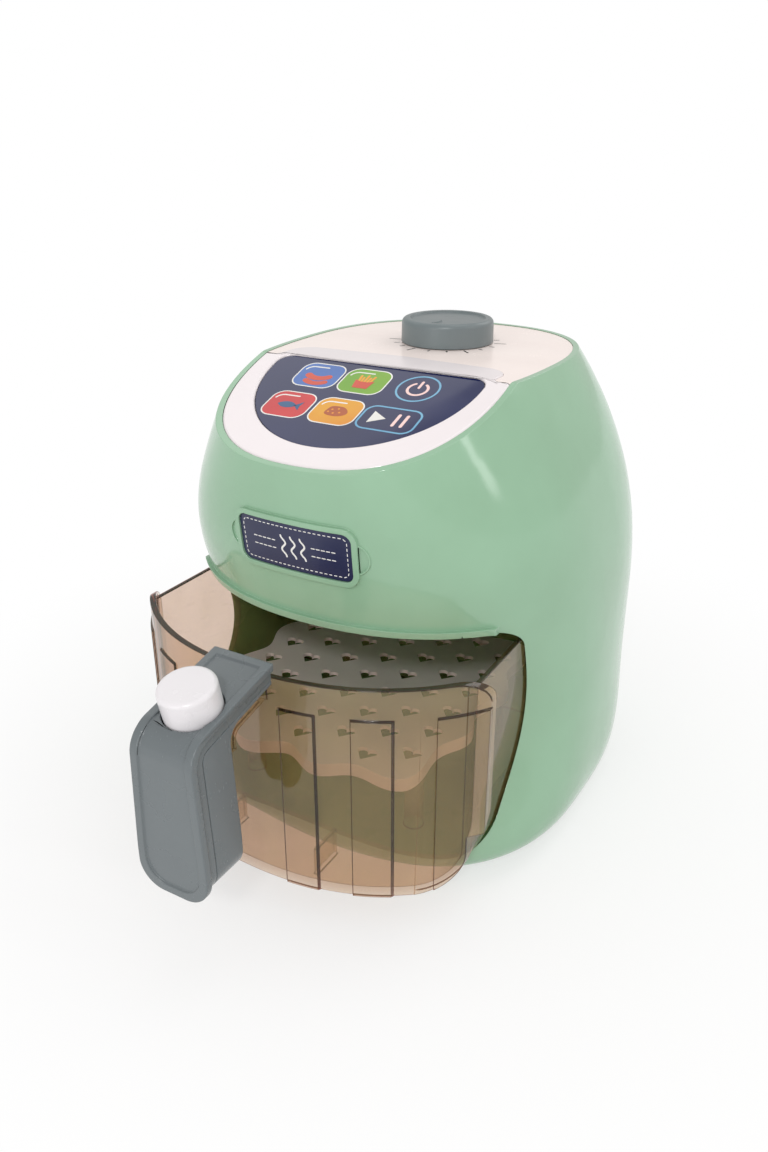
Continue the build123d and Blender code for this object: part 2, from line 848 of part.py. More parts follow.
cell_height = foot_lift + cover_thickness + cell_gap + cell_radius
cell_first_y = pocket_front + pocket_wall + cell_gap + cell_radius
cell_second_y = cell_first_y + 2 * cell_radius + cell_gap
nub_radius = 2.7
nub_length = 1.2
with BuildPart() as battery_cells:
    for y, way in ((cell_first_y, 1), (cell_second_y, -1)):
        with BuildSketch(Plane.YZ.offset(-cell_length / 2)):
            with Locations((y, cell_height)):
                Circle(cell_radius)
        extrude(amount=cell_length)
        with BuildSketch(Plane.YZ.offset(way * cell_length / 2)):
            with Locations((y, cell_height)):
                Circle(nub_radius)
        extrude(amount=way * nub_length)
battery_cells.part.label = "battery_cells"
export_step(battery_cells.part, "parts/battery_cells.step")

contact_thickness = 0.4
contact_bump = pocket_half - contact_thickness - cell_length / 2
contact_width = 9.0
contact_height = 11.0
contact_corner = 1.0
bump_radius = 3.4
bump_taper = 18
with BuildPart() as battery_contacts:
    for y, way in ((cell_first_y, 1), (cell_second_y, -1)):
        for side in (1, -1):
            reach = contact_bump - seat_gap - (nub_length if side == way else 0)
            with BuildSketch(Plane.YZ.offset(side * (pocket_half - seat_gap))):
                with Locations((y, cell_height)):
                    RectangleRounded(contact_width, contact_height, contact_corner)
            extrude(amount=-side * contact_thickness)
            with BuildSketch(Plane.YZ.offset(side * (pocket_half - contact_thickness))):
                with Locations((y, cell_height)):
                    Circle(bump_radius)
            extrude(amount=-side * (reach - seat_gap), taper=bump_taper)
battery_contacts.part.label = "battery_contacts"
export_step(battery_contacts.part, "parts/battery_contacts.step")

# Speaker: thin frame, cone basket and magnet
speaker_base = base_top + seat_gap
with BuildPart() as speaker:
    with BuildSketch(Plane.XZ):
        with BuildLine():
            Polyline(
                (0, speaker_base + 0.6),
                (speaker_radius - 4, speaker_base + 0.6),
                (speaker_radius - 2.5, speaker_base),
                (speaker_radius, speaker_base),
                (speaker_radius, speaker_base + 1.0),
                (speaker_radius - 2.5, speaker_base + 1.2),
                (7.5, speaker_base + 2.8),
                (7.0, speaker_base + 5.2),
                (0, speaker_base + 5.2),
                close=True,
            )
        make_face()
    revolve(axis=Axis.Z)
speaker_placed = Pos(0, speaker_y, 0) * speaker.part
speaker_placed.label = "speaker"
export_step(speaker_placed, "parts/speaker.step")

# Drawer bay: box with round rear corners that follows the shell in front, with runner rails
rail_inset = 19.0
rail_x = mouth_half - rail_inset
rail_half = 2.0
rail_height = 1.6
rail_front = -62.0
with BuildPart() as drawer_bay:
    with BuildSketch(Plane.XY.offset(bay_floor)) as bay_plan:
        with Locations((0, (bay_rear + bay_wall - far) / 2)):
            Rectangle(2 * (bay_half + bay_wall), bay_rear + bay_wall + far)
        fillet(bay_plan.vertices().group_by(Axis.Y)[-1], bay_corner + bay_wall)
    extrude(amount=bay_ceiling + bay_wall - bay_floor)
    with BuildSketch(Plane.XY.offset(bay_inner_floor)) as bay_room:
        with Locations((0, (bay_rear - far) / 2)):
            Rectangle(2 * bay_half, bay_rear + far)
        fillet(bay_room.vertices().group_by(Axis.Y)[-1], bay_corner)
    extrude(amount=bay_ceiling - bay_inner_floor, mode=Mode.SUBTRACT)
    add(inner_form, mode=Mode.INTERSECT)
    for side in (1, -1):
        add(
            block(
                side * rail_x - rail_half, side * rail_x + rail_half, rail_front, tub_rear - tub_corner,
                bay_inner_floor, bay_inner_floor + rail_height,
            )
        )
    for x, y in both_sides(bay_screw_places):
        add(column(x, y, tube_top + seat_gap, bay_floor, tube_radius))
        add(column(x, y, 0, bay_inner_floor - 0.5, screw_pilot), mode=Mode.SUBTRACT)
drawer_bay.part.label = "drawer_bay"
export_step(drawer_bay.part, "parts/drawer_bay.step")

# The handle's lines, on the drawer in its closed place
tub_low = bay_inner_floor + rail_height + slide_gap
plate_inner = front_seat
plate_outer = front_seat + front_plate
handle_root = -belly_front - plate_outer - slide_gap
handle_top = front_rim + 6.5
handle_tilt = 12.2
handle_rise = tan(radians(handle_tilt))
handle_cos = cos(radians(handle_tilt))
handle_front = handle_root - 45.5
handle_low = 38.0
handle_bend = 11.0
grip_rear = handle_front + 21.3
grip_bend = 7.0
arm_thickness = 8.6
handle_split = 7.0
handle_skin = 2.4
arm_half = 12.8
grip_half = 15.0
grip_corner = 10.0
flange_depth = 3.0
flange_step = 1.2
field_depth = 0.8
field_border = 3.4
rest_side = Plane(origin=(0, -drawer_out, 0), x_dir=(0, 1, 0), z_dir=(1, 0, 0))


def rest_plane(height):
    """Plan of the drawer at a height, where it stands pulled out."""
    return Plane((0, -drawer_out, height))


def arm_height(y, depth=0.0):
    """Height of the arm's sloping top at y, lowered square to it by depth."""
    return handle_top + (y - handle_root) * handle_rise - depth / handle_cos


def elbow(depth, front, bend):
    """All that lies below the arm's top, lowered by depth, and behind the upright plane at front."""
    behind = handle_root + far / 2
    with BuildPart() as form:
        with BuildSketch(rest_side):
            with BuildLine():
                FilletPolyline(
                    (behind, arm_height(behind, depth)),
                    (front, arm_height(front, depth)),
                    (front, -far / 4),
                    radius=bend,
                )
                Polyline((front, -far / 4), (behind, -far / 4), (behind, arm_height(behind, depth)))
            make_face()
        extrude(amount=far / 4, both=True)
    return form.part


def grip_view(inset=0.0):
    """The handle from the front: straight above, wider towards its round lower end."""
    low = handle_low + inset
    with BuildSketch() as view:
        with BuildLine():
            Polyline(
                (inset - arm_half, 2 * far),
                (inset - arm_half, arm_height(handle_front)),
                (inset - grip_half, low + 1.5 * grip_corner),
                (inset - grip_half, low),
                (grip_half - inset, low),
                (grip_half - inset, low + 1.5 * grip_corner),
                (arm_half - inset, arm_height(handle_front)),
                (arm_half - inset, 2 * far),
                close=True,
            )
        make_face()
        fillet(view.vertices().group_by(Axis.Y)[0], grip_corner - inset / 2)
    return view.sketch


# Drawer tub: clear moulding with a curved fluted front that overlaps the mouth
flute_half = 6.6
flute_pitch = 25.75
flute_places = [front_half - flute_half + 0.1 - step * flute_pitch for step in (0, 1, 2)]
flute_proud = 0.8
flute_drop = 12.0
rack_plane = 60.0
rack_thickness = 1.6
rack_margin = 15.7
rack_half = mouth_half - drawer_gap - tub_wall - rack_margin
rack_post_inset = 15.5
post_places = ((rack_half - rack_post_inset, -51.0), (rack_half - rack_post_inset, 29.0))
bracket_half = 8.5
bracket_depth = 7.0
bracket_wall = 1.6
bracket_skin = 2.0
bracket_low = 84.0


def tub_view(inset, reach):
    """The tub's plan in its closed place; its front follows the body's outline."""
    half = mouth_half - drawer_gap - inset
    rear = tub_rear - inset
    with BuildSketch() as view:
        with Locations((0, (rear - far) / 2)):
            Rectangle(2 * half, rear + far)
        fillet(view.vertices().group_by(Axis.Y)[-1], tub_corner - inset)
        add(outline_view(reach), mode=Mode.INTERSECT)
    return view.sketch


def tub_form(inset, reach, low, high):
    """The tub's plan raised from low to high, its lower long edges round like the mouth's."""
    with BuildPart() as form:
        with BuildSketch(rest_plane(low)):
            add(tub_view(inset, reach))
        extrude(amount=high - low)
        with BuildSketch(Plane.XZ) as section:
            with Locations((0, (low + high) / 2)):
                Rectangle(2 * (mouth_half - drawer_gap - inset), high - low)
            fillet(section.vertices().group_by(Axis.Y)[0], mouth_bottom_radius - drawer_gap / 2 - inset)
        extrude(amount=2 * far, both=True, mode=Mode.INTERSECT)
    return form.part


with BuildPart() as front_wall:
    with BuildSketch(rest_plane(tub_low)):
        add(outline_view(plate_outer))
        add(outline_view(plate_inner), mode=Mode.SUBTRACT)
        with Locations((0, -far / 2 - tub_corner)):
            Rectangle(2 * far, far, mode=Mode.INTERSECT)
    extrude(amount=front_rim - tub_low)
    with BuildSketch(Plane.XZ) as front_shape:
        with Locations((0, (front_rim + tub_low) / 2)):
            Rectangle(2 * front_half, front_rim - tub_low)
        fillet(front_shape.vertices().group_by(Axis.Y)[-1], front_corner)
        fillet(front_shape.vertices().group_by(Axis.Y)[0], front_corner / 2)
    extrude(amount=2 * far, mode=Mode.INTERSECT)

with BuildPart() as flutes:
    with BuildSketch(rest_plane(tub_low - flute_proud)):
        add(outline_view(plate_outer + flute_proud))
        add(outline_view(plate_outer - 0.3), mode=Mode.SUBTRACT)
    extrude(amount=front_rim - flute_drop - tub_low + flute_proud)
    with BuildSketch(Plane.XZ):
        with Locations(*both_sides([(x, front_rim / 2) for x in flute_places])):
            Rectangle(2 * flute_half, front_rim)
    extrude(amount=2 * far, mode=Mode.INTERSECT)

# Room that the shell takes round the mouth when the drawer is shut, kept free of the front wall's back
with BuildPart() as shell_room:
    add(hull(front_clear))
    with BuildSketch(Plane.XZ):
        Rectangle(4 * far, 4 * far)
        add(mouth_view(-slide_gap), mode=Mode.SUBTRACT)
    extrude(amount=far, mode=Mode.INTERSECT)

with BuildPart() as bracket:
    add(elbow(arm_thickness + seat_gap, grip_rear + seat_gap, grip_bend - seat_gap))
    add(
        elbow(arm_thickness + bracket_depth, grip_rear + bracket_depth, grip_bend / 2),
        mode=Mode.SUBTRACT,
    )
    add(
        block(-bracket_half, bracket_half, -2 * far, handle_root + 1 - drawer_out, bracket_low, far),
        mode=Mode.INTERSECT,
    )
    add(
        block(
            bracket_wall - bracket_half,
            bracket_half - bracket_wall,
            -2 * far,
            handle_root - 2 - drawer_out,
            0,
            far,
        )
        & elbow(arm_thickness + bracket_skin, grip_rear + bracket_skin, grip_bend - bracket_skin),
        mode=Mode.SUBTRACT,
    )
    add(
        block(
            -bracket_half, bracket_half,
            (grip_rear + handle_root) / 2 - drawer_out - 0.8,
            (grip_rear + handle_root) / 2 - drawer_out + 0.8,
            arm_height(grip_rear, arm_thickness) - 3, arm_height(handle_root, arm_thickness + 1.0) - 2.0,
        )
    )

arm_screw_x = 4.0
arm_screw_y = handle_root - 8.8


def arm_plane(y, depth=0.0):
    """Plane square to the arm's top at y, depth below it, its normal pointing up."""
    rise = radians(handle_tilt)
    return Plane(
        origin=(0, y - drawer_out, arm_height(y)), x_dir=(1, 0, 0), z_dir=(0, -sin(rise), cos(rise))
    ).offset(-depth)


def arm_screw_holes(depth, length):
    """Two round cutters for the arm's screws, standing up from depth below the arm's top."""
    with BuildPart() as holes:
        with BuildSketch(arm_plane(arm_screw_y, depth)):
            with Locations((arm_screw_x, 0), (-arm_screw_x, 0)):
                Circle(screw_pilot)
        extrude(amount=length)
    return holes.part


floor_rib_x = 22.0
floor_rib_height = 12.0
floor_rib_length = 14.0
floor_rib_wall = 1.6
floor_rib_y = -belly_front + 11.0
post_outer = 4.0
with BuildPart() as drawer_tub:
    add(tub_form(0, plate_outer, tub_low, tub_rim))
    add(front_wall.part)
    add(tub_form(tub_wall, plate_inner, tub_low + tub_wall, 2 * tub_rim), mode=Mode.SUBTRACT)
    add(flutes.part)
    add(shell_room.part.moved(Pos(0, -drawer_out, 0)), mode=Mode.SUBTRACT)
    with BuildSketch(rest_plane(tub_low + tub_wall)):
        with Locations(*both_sides(post_places)):
            Circle(post_outer)
        with Locations(*both_sides([(floor_rib_x, floor_rib_y)])):
            Rectangle(floor_rib_wall, floor_rib_length)
    extrude(amount=floor_rib_height)
    with BuildSketch(rest_plane(tub_low + tub_wall)):
        with Locations(*both_sides(post_places)):
            Circle(post_outer)
    extrude(amount=rack_plane - rack_thickness - seat_gap - tub_low - tub_wall)
    add(bracket.part)
    add(arm_screw_holes(arm_thickness + 5, 10), mode=Mode.SUBTRACT)
drawer_tub.part.label = "drawer_tub"
export_step(drawer_tub.part, "parts/drawer_tub.step")

# Food rack: thin scalloped tray with a turned down skirt and staggered heart shaped holes
rack_reach = 63.0
rack_middle = -21.0
rack_power = 5.0
rack_lobes = 12
rack_wave = 0.05
rack_steps = 72
rack_skirt = 5.5
rack_skirt_wall = 1.2
heart_width = 8.4
heart_height = 7.6
heart_pitch_x = 15.0
heart_pitch_y = 17.0
heart_margin = 8.0
heart_columns = int((rack_half - heart_margin) / heart_pitch_x)
heart_rows = int(rack_reach / heart_pitch_y) + 1


def rack_view(grow=0.0):
    """The tray's scalloped outline: a rounded rectangle whose edge swings in and out."""
    points = []
    for step in range(rack_steps):
        angle = 2 * pi * step / rack_steps
        spread = (abs(cos(angle)) ** rack_power + abs(sin(angle)) ** rack_power) ** (-1 / rack_power)
        reach = spread * (1 - rack_wave * cos(rack_lobes * angle))
        x = reach * cos(angle) * (rack_half + grow)
        y = rack_middle + reach * sin(angle) * (rack_reach + grow)
        points.append((x, y))
    with BuildSketch() as view:
        with BuildLine():
            Spline(*points, periodic=True)
        make_face()
    return view.sketch


with BuildSketch() as heart:
    with BuildLine():
        half_width = heart_width / 2
        Line((0, -heart_height * 0.55), (half_width, heart_height * 0.12))
        ThreePointArc(
            (half_width, heart_height * 0.12),
            (half_width * 0.62, heart_height * 0.45),
            (0, heart_height * 0.2),
        )
        mirror(about=Plane.YZ)
    make_face()

heart_places = [
    (column_step * heart_pitch_x, rack_middle + (row_step + (column_step % 2) / 2) * heart_pitch_y)
    for column_step in range(-heart_columns, heart_columns + 1)
    for row_step in range(-heart_rows, heart_rows)
    if abs(row_step + (column_step % 2) / 2) * heart_pitch_y < rack_reach - heart_margin
]
with BuildPart() as food_rack:
    with BuildSketch(rest_plane(rack_plane - rack_thickness)):
        add(rack_view())
        with Locations(*heart_places):
            add(heart.sketch, mode=Mode.SUBTRACT)
    extrude(amount=rack_thickness)
    with BuildSketch(rest_plane(rack_plane - rack_skirt)):
        add(rack_view())
        add(rack_view(-rack_skirt_wall), mode=Mode.SUBTRACT)
    extrude(amount=rack_skirt - rack_thickness / 2)
food_rack.part.label = "food_rack"
export_step(food_rack.part, "parts/food_rack.step")

# Handle: outer half with its flange and sunk field, inner half behind it
button_y = handle_root - 28.0
button_radius = 10.3
button_gap = 0.4
button_proud = 9.5
button_wall = 2.0
lug_half = 3.5
lug_reach = 12.2
lug_height = 1.4
grip_screw_heights = (54.0, 76.0)
grip_seat = grip_rear - 5.0
with BuildPart() as handle_flange:
    add(elbow(0, handle_front, handle_bend))
    add(elbow(flange_depth, handle_front + flange_depth, handle_bend - flange_depth), mode=Mode.SUBTRACT)
    with BuildSketch(Plane.XZ):
        add(grip_view())
    extrude(amount=2 * far, mode=Mode.INTERSECT)

with BuildPart() as handle_field:
    add(elbow(0, handle_front, handle_bend))
    add(elbow(field_depth, handle_front + field_depth, handle_bend - field_depth), mode=Mode.SUBTRACT)
    with BuildSketch(Plane.XZ):
        add(grip_view(field_border))
    extrude(amount=2 * far, mode=Mode.INTERSECT)
    add(
        block(-far, far, -2 * far, handle_root - field_border - drawer_out, 0, far),
        mode=Mode.INTERSECT,
    )

root_y = handle_root - drawer_out
with BuildPart() as handle_shell:
    add(elbow(flange_depth / 2, handle_front + flange_depth / 2, handle_bend - flange_depth / 2))
    add(elbow(handle_split, handle_front + handle_split, handle_bend - handle_split), mode=Mode.SUBTRACT)
    with BuildSketch(Plane.XZ):
        add(grip_view(flange_step))
    extrude(amount=2 * far, mode=Mode.INTERSECT)
    add(handle_flange.part)
    add(handle_field.part, mode=Mode.SUBTRACT)
    add(block(-far, far, root_y, far, -far, 2 * far), mode=Mode.SUBTRACT)
    with BuildSketch(arm_plane(button_y, handle_split + 1)):
        Circle(button_radius + button_gap)
    extrude(amount=2 * handle_split, mode=Mode.SUBTRACT)
    with BuildSketch(arm_plane(button_y, handle_split + 1)):
        Rectangle(2 * (lug_half + button_gap), 2 * (lug_reach + button_gap))
    extrude(amount=handle_split + 1 - handle_skin, mode=Mode.SUBTRACT)
    add(arm_screw_holes(arm_thickness, arm_thickness - handle_skin), mode=Mode.SUBTRACT)
    with BuildSketch(Plane.XZ.offset(-handle_front - handle_skin + drawer_out)):
        with Locations(*[(0, height) for height in grip_screw_heights]):
            Circle(screw_pilot)
    extrude(amount=-far / 4, mode=Mode.SUBTRACT)
handle_shell.part.label = "handle_shell"
export_step(handle_shell.part, "parts/handle_shell.step")

guide_radius = 3.2
guide_height = 5.0
with BuildPart() as handle_back:
    add(elbow(handle_split + seat_gap, handle_front + handle_split + seat_gap, handle_bend - handle_split))
    add(elbow(arm_thickness, grip_rear, grip_bend), mode=Mode.SUBTRACT)
    with BuildSketch(Plane.XZ):
        add(grip_view(flange_step))
    extrude(amount=2 * far, mode=Mode.INTERSECT)
    add(block(-far, far, root_y, far, -far, 2 * far), mode=Mode.SUBTRACT)
    with BuildSketch(arm_plane(button_y, handle_split + seat_gap)):
        Circle(guide_radius)
    extrude(amount=guide_height)
    add(arm_screw_holes(arm_thickness + 1, arm_thickness), mode=Mode.SUBTRACT)
    with BuildSketch(Plane.XZ.offset(-grip_rear + drawer_out - 1)):
        with Locations(*[(0, height) for height in grip_screw_heights]):
            Circle(screw_head + fit_gap)
    extrude(amount=6.0, mode=Mode.SUBTRACT)
    with BuildSketch(Plane.XZ.offset(-grip_rear + drawer_out)):
        with Locations(*[(0, height) for height in grip_screw_heights]):
            Circle(screw_pilot)
    extrude(amount=far / 4, mode=Mode.SUBTRACT)
handle_back.part.label = "handle_back"
export_step(handle_back.part, "parts/handle_back.step")

grip_screw_length = grip_seat - handle_front - handle_skin - 1.5
with BuildPart() as handle_screws:
    for height in grip_screw_heights:
        with Locations(
            Plane(origin=(0, grip_seat - drawer_out, height), x_dir=(1, 0, 0), z_dir=(0, -1, 0))
        ):
            add(screw(grip_screw_length))
    with Locations(arm_plane(arm_screw_y, arm_thickness + bracket_skin + seat_gap)):
        with Locations((arm_screw_x, 0), (-arm_screw_x, 0)):
            add(screw(7.0))
handle_screws.part.label = "handle_screws"
export_step(handle_screws.part, "parts/handle_screws.step")

# Release button: hollow cap with two lugs that hold it under the handle's skin, and its spring
lug_top = -handle_skin - slide_gap
with BuildPart() as release_button:
    with BuildSketch(arm_plane(button_y, -lug_top + lug_height)):
        Circle(button_radius)
    extrude(amount=button_proud + lug_height - lug_top)
    button_axis = Axis((0, 0, 0), arm_plane(button_y).z_dir)
    fillet(release_button.edges().group_by(button_axis)[-1], 1.6)
    with BuildSketch(arm_plane(button_y, -lug_top + lug_height)):
        Rectangle(2 * lug_half, 2 * lug_reach)
    extrude(amount=lug_height)
    with BuildSketch(arm_plane(button_y, -lug_top + lug_height)):
        Circle(button_radius - button_wall)
    extrude(amount=button_proud + lug_height - lug_top - button_wall, mode=Mode.SUBTRACT)
release_button.part.label = "release_button"
export_step(release_button.part, "parts/release_button.step")

spring_radius = 5.0
spring_wire = 0.4
spring_turns = 6
spring_low = handle_split - spring_wire - seat_gap
spring_length = handle_split + button_proud - button_wall - 2 * spring_wire - 3 * seat_gap
with BuildPart() as button_spring:
    with BuildLine() as coil:
        Helix(
            pitch=spring_length / spring_turns,
            height=spring_length,
            radius=spring_radius,
            center=arm_plane(button_y, spring_low).origin,
            direction=arm_plane(button_y).z_dir,
        )
    with BuildSketch(Plane(origin=coil.line @ 0, z_dir=coil.line % 0)):
        Circle(spring_wire)
    sweep(path=coil.line)
button_spring.part.label = "button_spring"
export_step(button_spring.part, "parts/button_spring.step")
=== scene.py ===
"""Toy air fryer: finishes, prints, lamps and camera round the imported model. Metres, +Z up."""

from math import cos, pi, radians, sin

import bmesh
import bpy
from mathutils import Euler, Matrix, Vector
from mathutils.bvhtree import BVHTree
from mathutils.geometry import tessellate_polygon


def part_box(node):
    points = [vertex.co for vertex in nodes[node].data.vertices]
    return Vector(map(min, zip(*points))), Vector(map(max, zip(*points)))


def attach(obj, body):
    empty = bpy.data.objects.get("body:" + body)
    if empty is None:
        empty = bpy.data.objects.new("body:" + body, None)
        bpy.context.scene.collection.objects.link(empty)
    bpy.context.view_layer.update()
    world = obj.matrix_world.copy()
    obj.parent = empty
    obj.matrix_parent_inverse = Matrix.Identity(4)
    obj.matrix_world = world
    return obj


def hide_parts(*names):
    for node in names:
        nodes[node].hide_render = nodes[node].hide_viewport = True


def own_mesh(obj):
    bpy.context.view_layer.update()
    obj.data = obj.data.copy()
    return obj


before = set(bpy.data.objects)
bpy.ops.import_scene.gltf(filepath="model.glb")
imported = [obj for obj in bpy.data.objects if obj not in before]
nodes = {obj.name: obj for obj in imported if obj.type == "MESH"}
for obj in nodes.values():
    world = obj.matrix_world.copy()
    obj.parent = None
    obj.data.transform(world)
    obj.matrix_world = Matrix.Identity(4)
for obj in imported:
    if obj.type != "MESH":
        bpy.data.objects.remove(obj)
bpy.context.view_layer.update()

MM = 0.001


def linear(hex_colour):
    """A hex sRGB colour as linear RGBA."""
    parts = [int(hex_colour[i:i + 2], 16) / 255 for i in (0, 2, 4)]
    return (*[c / 12.92 if c <= 0.04045 else ((c + 0.055) / 1.055) ** 2.4 for c in parts], 1.0)


def add_node(tree, kind, inputs=(), **settings):
    """Adds a node to a tree; inputs holds (socket, value or link) pairs."""
    node = tree.nodes.new(kind)
    for key, value in settings.items():
        setattr(node, key, value)
    for socket, value in inputs:
        if isinstance(value, bpy.types.NodeSocket):
            tree.links.new(value, node.inputs[socket])
        else:
            node.inputs[socket].default_value = value
    return node


def new_material(name):
    """An empty node material and its tree."""
    material = bpy.data.materials.new(name)
    material.use_nodes = True
    material.node_tree.nodes.clear()
    return material, material.node_tree


# Sizes of the patterns that moulding and handling leave, in mm
CLOUD_MM = 38.0
SHEEN_MM = 16.0
SCUFF_MM = 0.9
SCUFF_STRETCH = (1, 1, 0.35)
SKIN_MM = 1.8
GLOSS_SKIN_MM = 0.0015
SATIN_SKIN_MM = 0.003
FILM_SKIN_MM = 0.0006
RIPPLE_MM = 9.0
RIPPLE_DEPTH_MM = 0.01
WIPE_MM = 14.0
SMEAR_MM = 22.0

# Spans of a noise value: the middle, where most of it lies, and its few peaks
MIDDLE = (0.35, 0.65)
PEAKS = (0.62, 0.8)

# Refractive indices
ABS_IOR = 1.52
POLYPROPYLENE_IOR = 1.49
POLYSTYRENE_IOR = 1.57
METAL_IOR = 1.5

# Part of the usual gloss that a printed film keeps
FILM_SPECULAR = 0.4


def grain(tree, size_mm, detail=2.0, stretch=(1, 1, 1), span=None, low=0.0, high=1.0):
    """Noise in object space, lumps about size_mm across; a span of its values is mapped to low and high."""
    place = add_node(tree, "ShaderNodeTexCoord").outputs["Object"]
    turned = add_node(tree, "ShaderNodeMapping", [("Vector", place), ("Scale", stretch)]).outputs[0]
    noise = add_node(
        tree,
        "ShaderNodeTexNoise",
        [("Vector", turned), ("Scale", 1 / (size_mm * MM)), ("Detail", detail)],
    ).outputs["Fac"]
    if span is None:
        return noise
    limits = [("From Min", span[0]), ("From Max", span[1]), ("To Min", low), ("To Max", high)]
    return add_node(tree, "ShaderNodeMapRange", [("Value", noise), *limits]).outputs["Result"]


def solid_finish(
    name, light, deep, rough, sheen_mm=SHEEN_MM, skin_mm=SKIN_MM, skin_depth_mm=GLOSS_SKIN_MM, specular=0.5
):
    """Solid coloured surface: two close shades in faint clouds, uneven gloss, fine scuffs, rippled skin."""
    material, tree = new_material(name)
    cloud = grain(tree, CLOUD_MM, detail=3.0, span=MIDDLE)
    sheen = grain(tree, sheen_mm, detail=4.0, span=MIDDLE, low=rough - 0.02, high=rough + 0.03)
    scuff = grain(tree, SCUFF_MM, detail=6.0, stretch=SCUFF_STRETCH, span=PEAKS, high=0.04)
    gloss = add_node(tree, "ShaderNodeMath", [(0, sheen), (1, scuff)], operation="ADD").outputs[0]
    shade = add_node(
        tree,
        "ShaderNodeMix",
        [("Factor", cloud), ("A", linear(light)), ("B", linear(deep))],
        data_type="RGBA",
    ).outputs["Result"]
    skin = add_node(
        tree,
        "ShaderNodeBump",
        [("Height", grain(tree, skin_mm)), ("Distance", skin_depth_mm * MM), ("Strength", 1.0)],
    ).outputs[0]
    shader = add_node(
        tree,
        "ShaderNodeBsdfPrincipled",
        [
            ("Base Color", shade),
            ("Roughness", gloss),
            ("IOR", ABS_IOR),
            ("Specular IOR Level", specular),
            ("Normal", skin),
        ],
    )
    add_node(tree, "ShaderNodeOutputMaterial", [("Surface", shader.outputs[0])])
    return material


def clear_moulding(name, tint, haze_and_painted_light_tint, depth_tint, density, rough, veil):
    """Clear wall: a straight view through, gloss by angle, a veil of haze whose tint also stands for
    painted light, brown that deepens along it.
    """
    material, tree = new_material(name)
    wave = grain(tree, RIPPLE_MM, detail=1.0)
    ripple = add_node(
        tree, "ShaderNodeBump", [("Height", wave), ("Distance", RIPPLE_DEPTH_MM * MM), ("Strength", 1.0)]
    ).outputs[0]
    gloss = grain(tree, WIPE_MM, detail=3.0, span=MIDDLE, low=rough, high=rough + 0.04)
    smear = grain(tree, SMEAR_MM, detail=4.0, span=MIDDLE, low=veil, high=veil + 0.05)
    mirror = add_node(tree, "ShaderNodeBsdfGlossy", [("Roughness", gloss), ("Normal", ripple)]).outputs[0]
    through = add_node(tree, "ShaderNodeBsdfTransparent", [("Color", linear(tint))]).outputs[0]
    # The haze is lit by the lamps; its tint carries painted reflection and painted light as well as real
    # haze
    lit_through = add_node(tree, "ShaderNodeBsdfTranslucent", [("Color", linear(haze_and_painted_light_tint))]).outputs[0]
    lit_back = add_node(tree, "ShaderNodeBsdfDiffuse", [("Color", linear(haze_and_painted_light_tint))]).outputs[0]
    haze = add_node(tree, "ShaderNodeMixShader", [(0, 0.5), (1, lit_through), (2, lit_back)]).outputs[0]
    veiled = add_node(tree, "ShaderNodeMixShader", [(0, smear), (1, through), (2, haze)]).outputs[0]
    angle = add_node(tree, "ShaderNodeFresnel", [("IOR", POLYSTYRENE_IOR), ("Normal", ripple)]).outputs[0]
    inside = add_node(tree, "ShaderNodeNewGeometry").outputs["Backfacing"]
    outside = add_node(tree, "ShaderNodeMath", [(0, 1.0), (1, inside)], operation="SUBTRACT").outputs[0]
    share = add_node(tree, "ShaderNodeMath", [(0, angle), (1, outside)], operation="MULTIPLY").outputs[0]
    surface = add_node(tree, "ShaderNodeMixShader", [(0, share), (1, veiled), (2, mirror)]).outputs[0]
    depth = add_node(
        tree,
        "ShaderNodeVolumeAbsorption",
        [("Color", linear(depth_tint)), ("Density", density)],
    ).outputs[0]
    add_node(tree, "ShaderNodeOutputMaterial", [("Surface", surface), ("Volume", depth)])
    return material


def milky_finish(name, light, deep, rough, through):
    """Undyed polypropylene: part of the light goes through, softly scattered."""
    material = solid_finish(name, light, deep, rough)
    shader = material.node_tree.nodes["Principled BSDF"]
    shader.inputs["Transmission Weight"].default_value = through
    shader.inputs["IOR"].default_value = POLYPROPYLENE_IOR
    return material


def metal_finish(name, light, deep, rough):
    """Plated or drawn steel: tinted reflections, unevenly brushed."""
    material = solid_finish(name, light, deep, rough, sheen_mm=2.0, skin_mm=0.5, skin_depth_mm=0.002)
    shader = material.node_tree.nodes["Principled BSDF"]
    shader.inputs["Metallic"].default_value = 1.0
    shader.inputs["IOR"].default_value = METAL_IOR
    return material


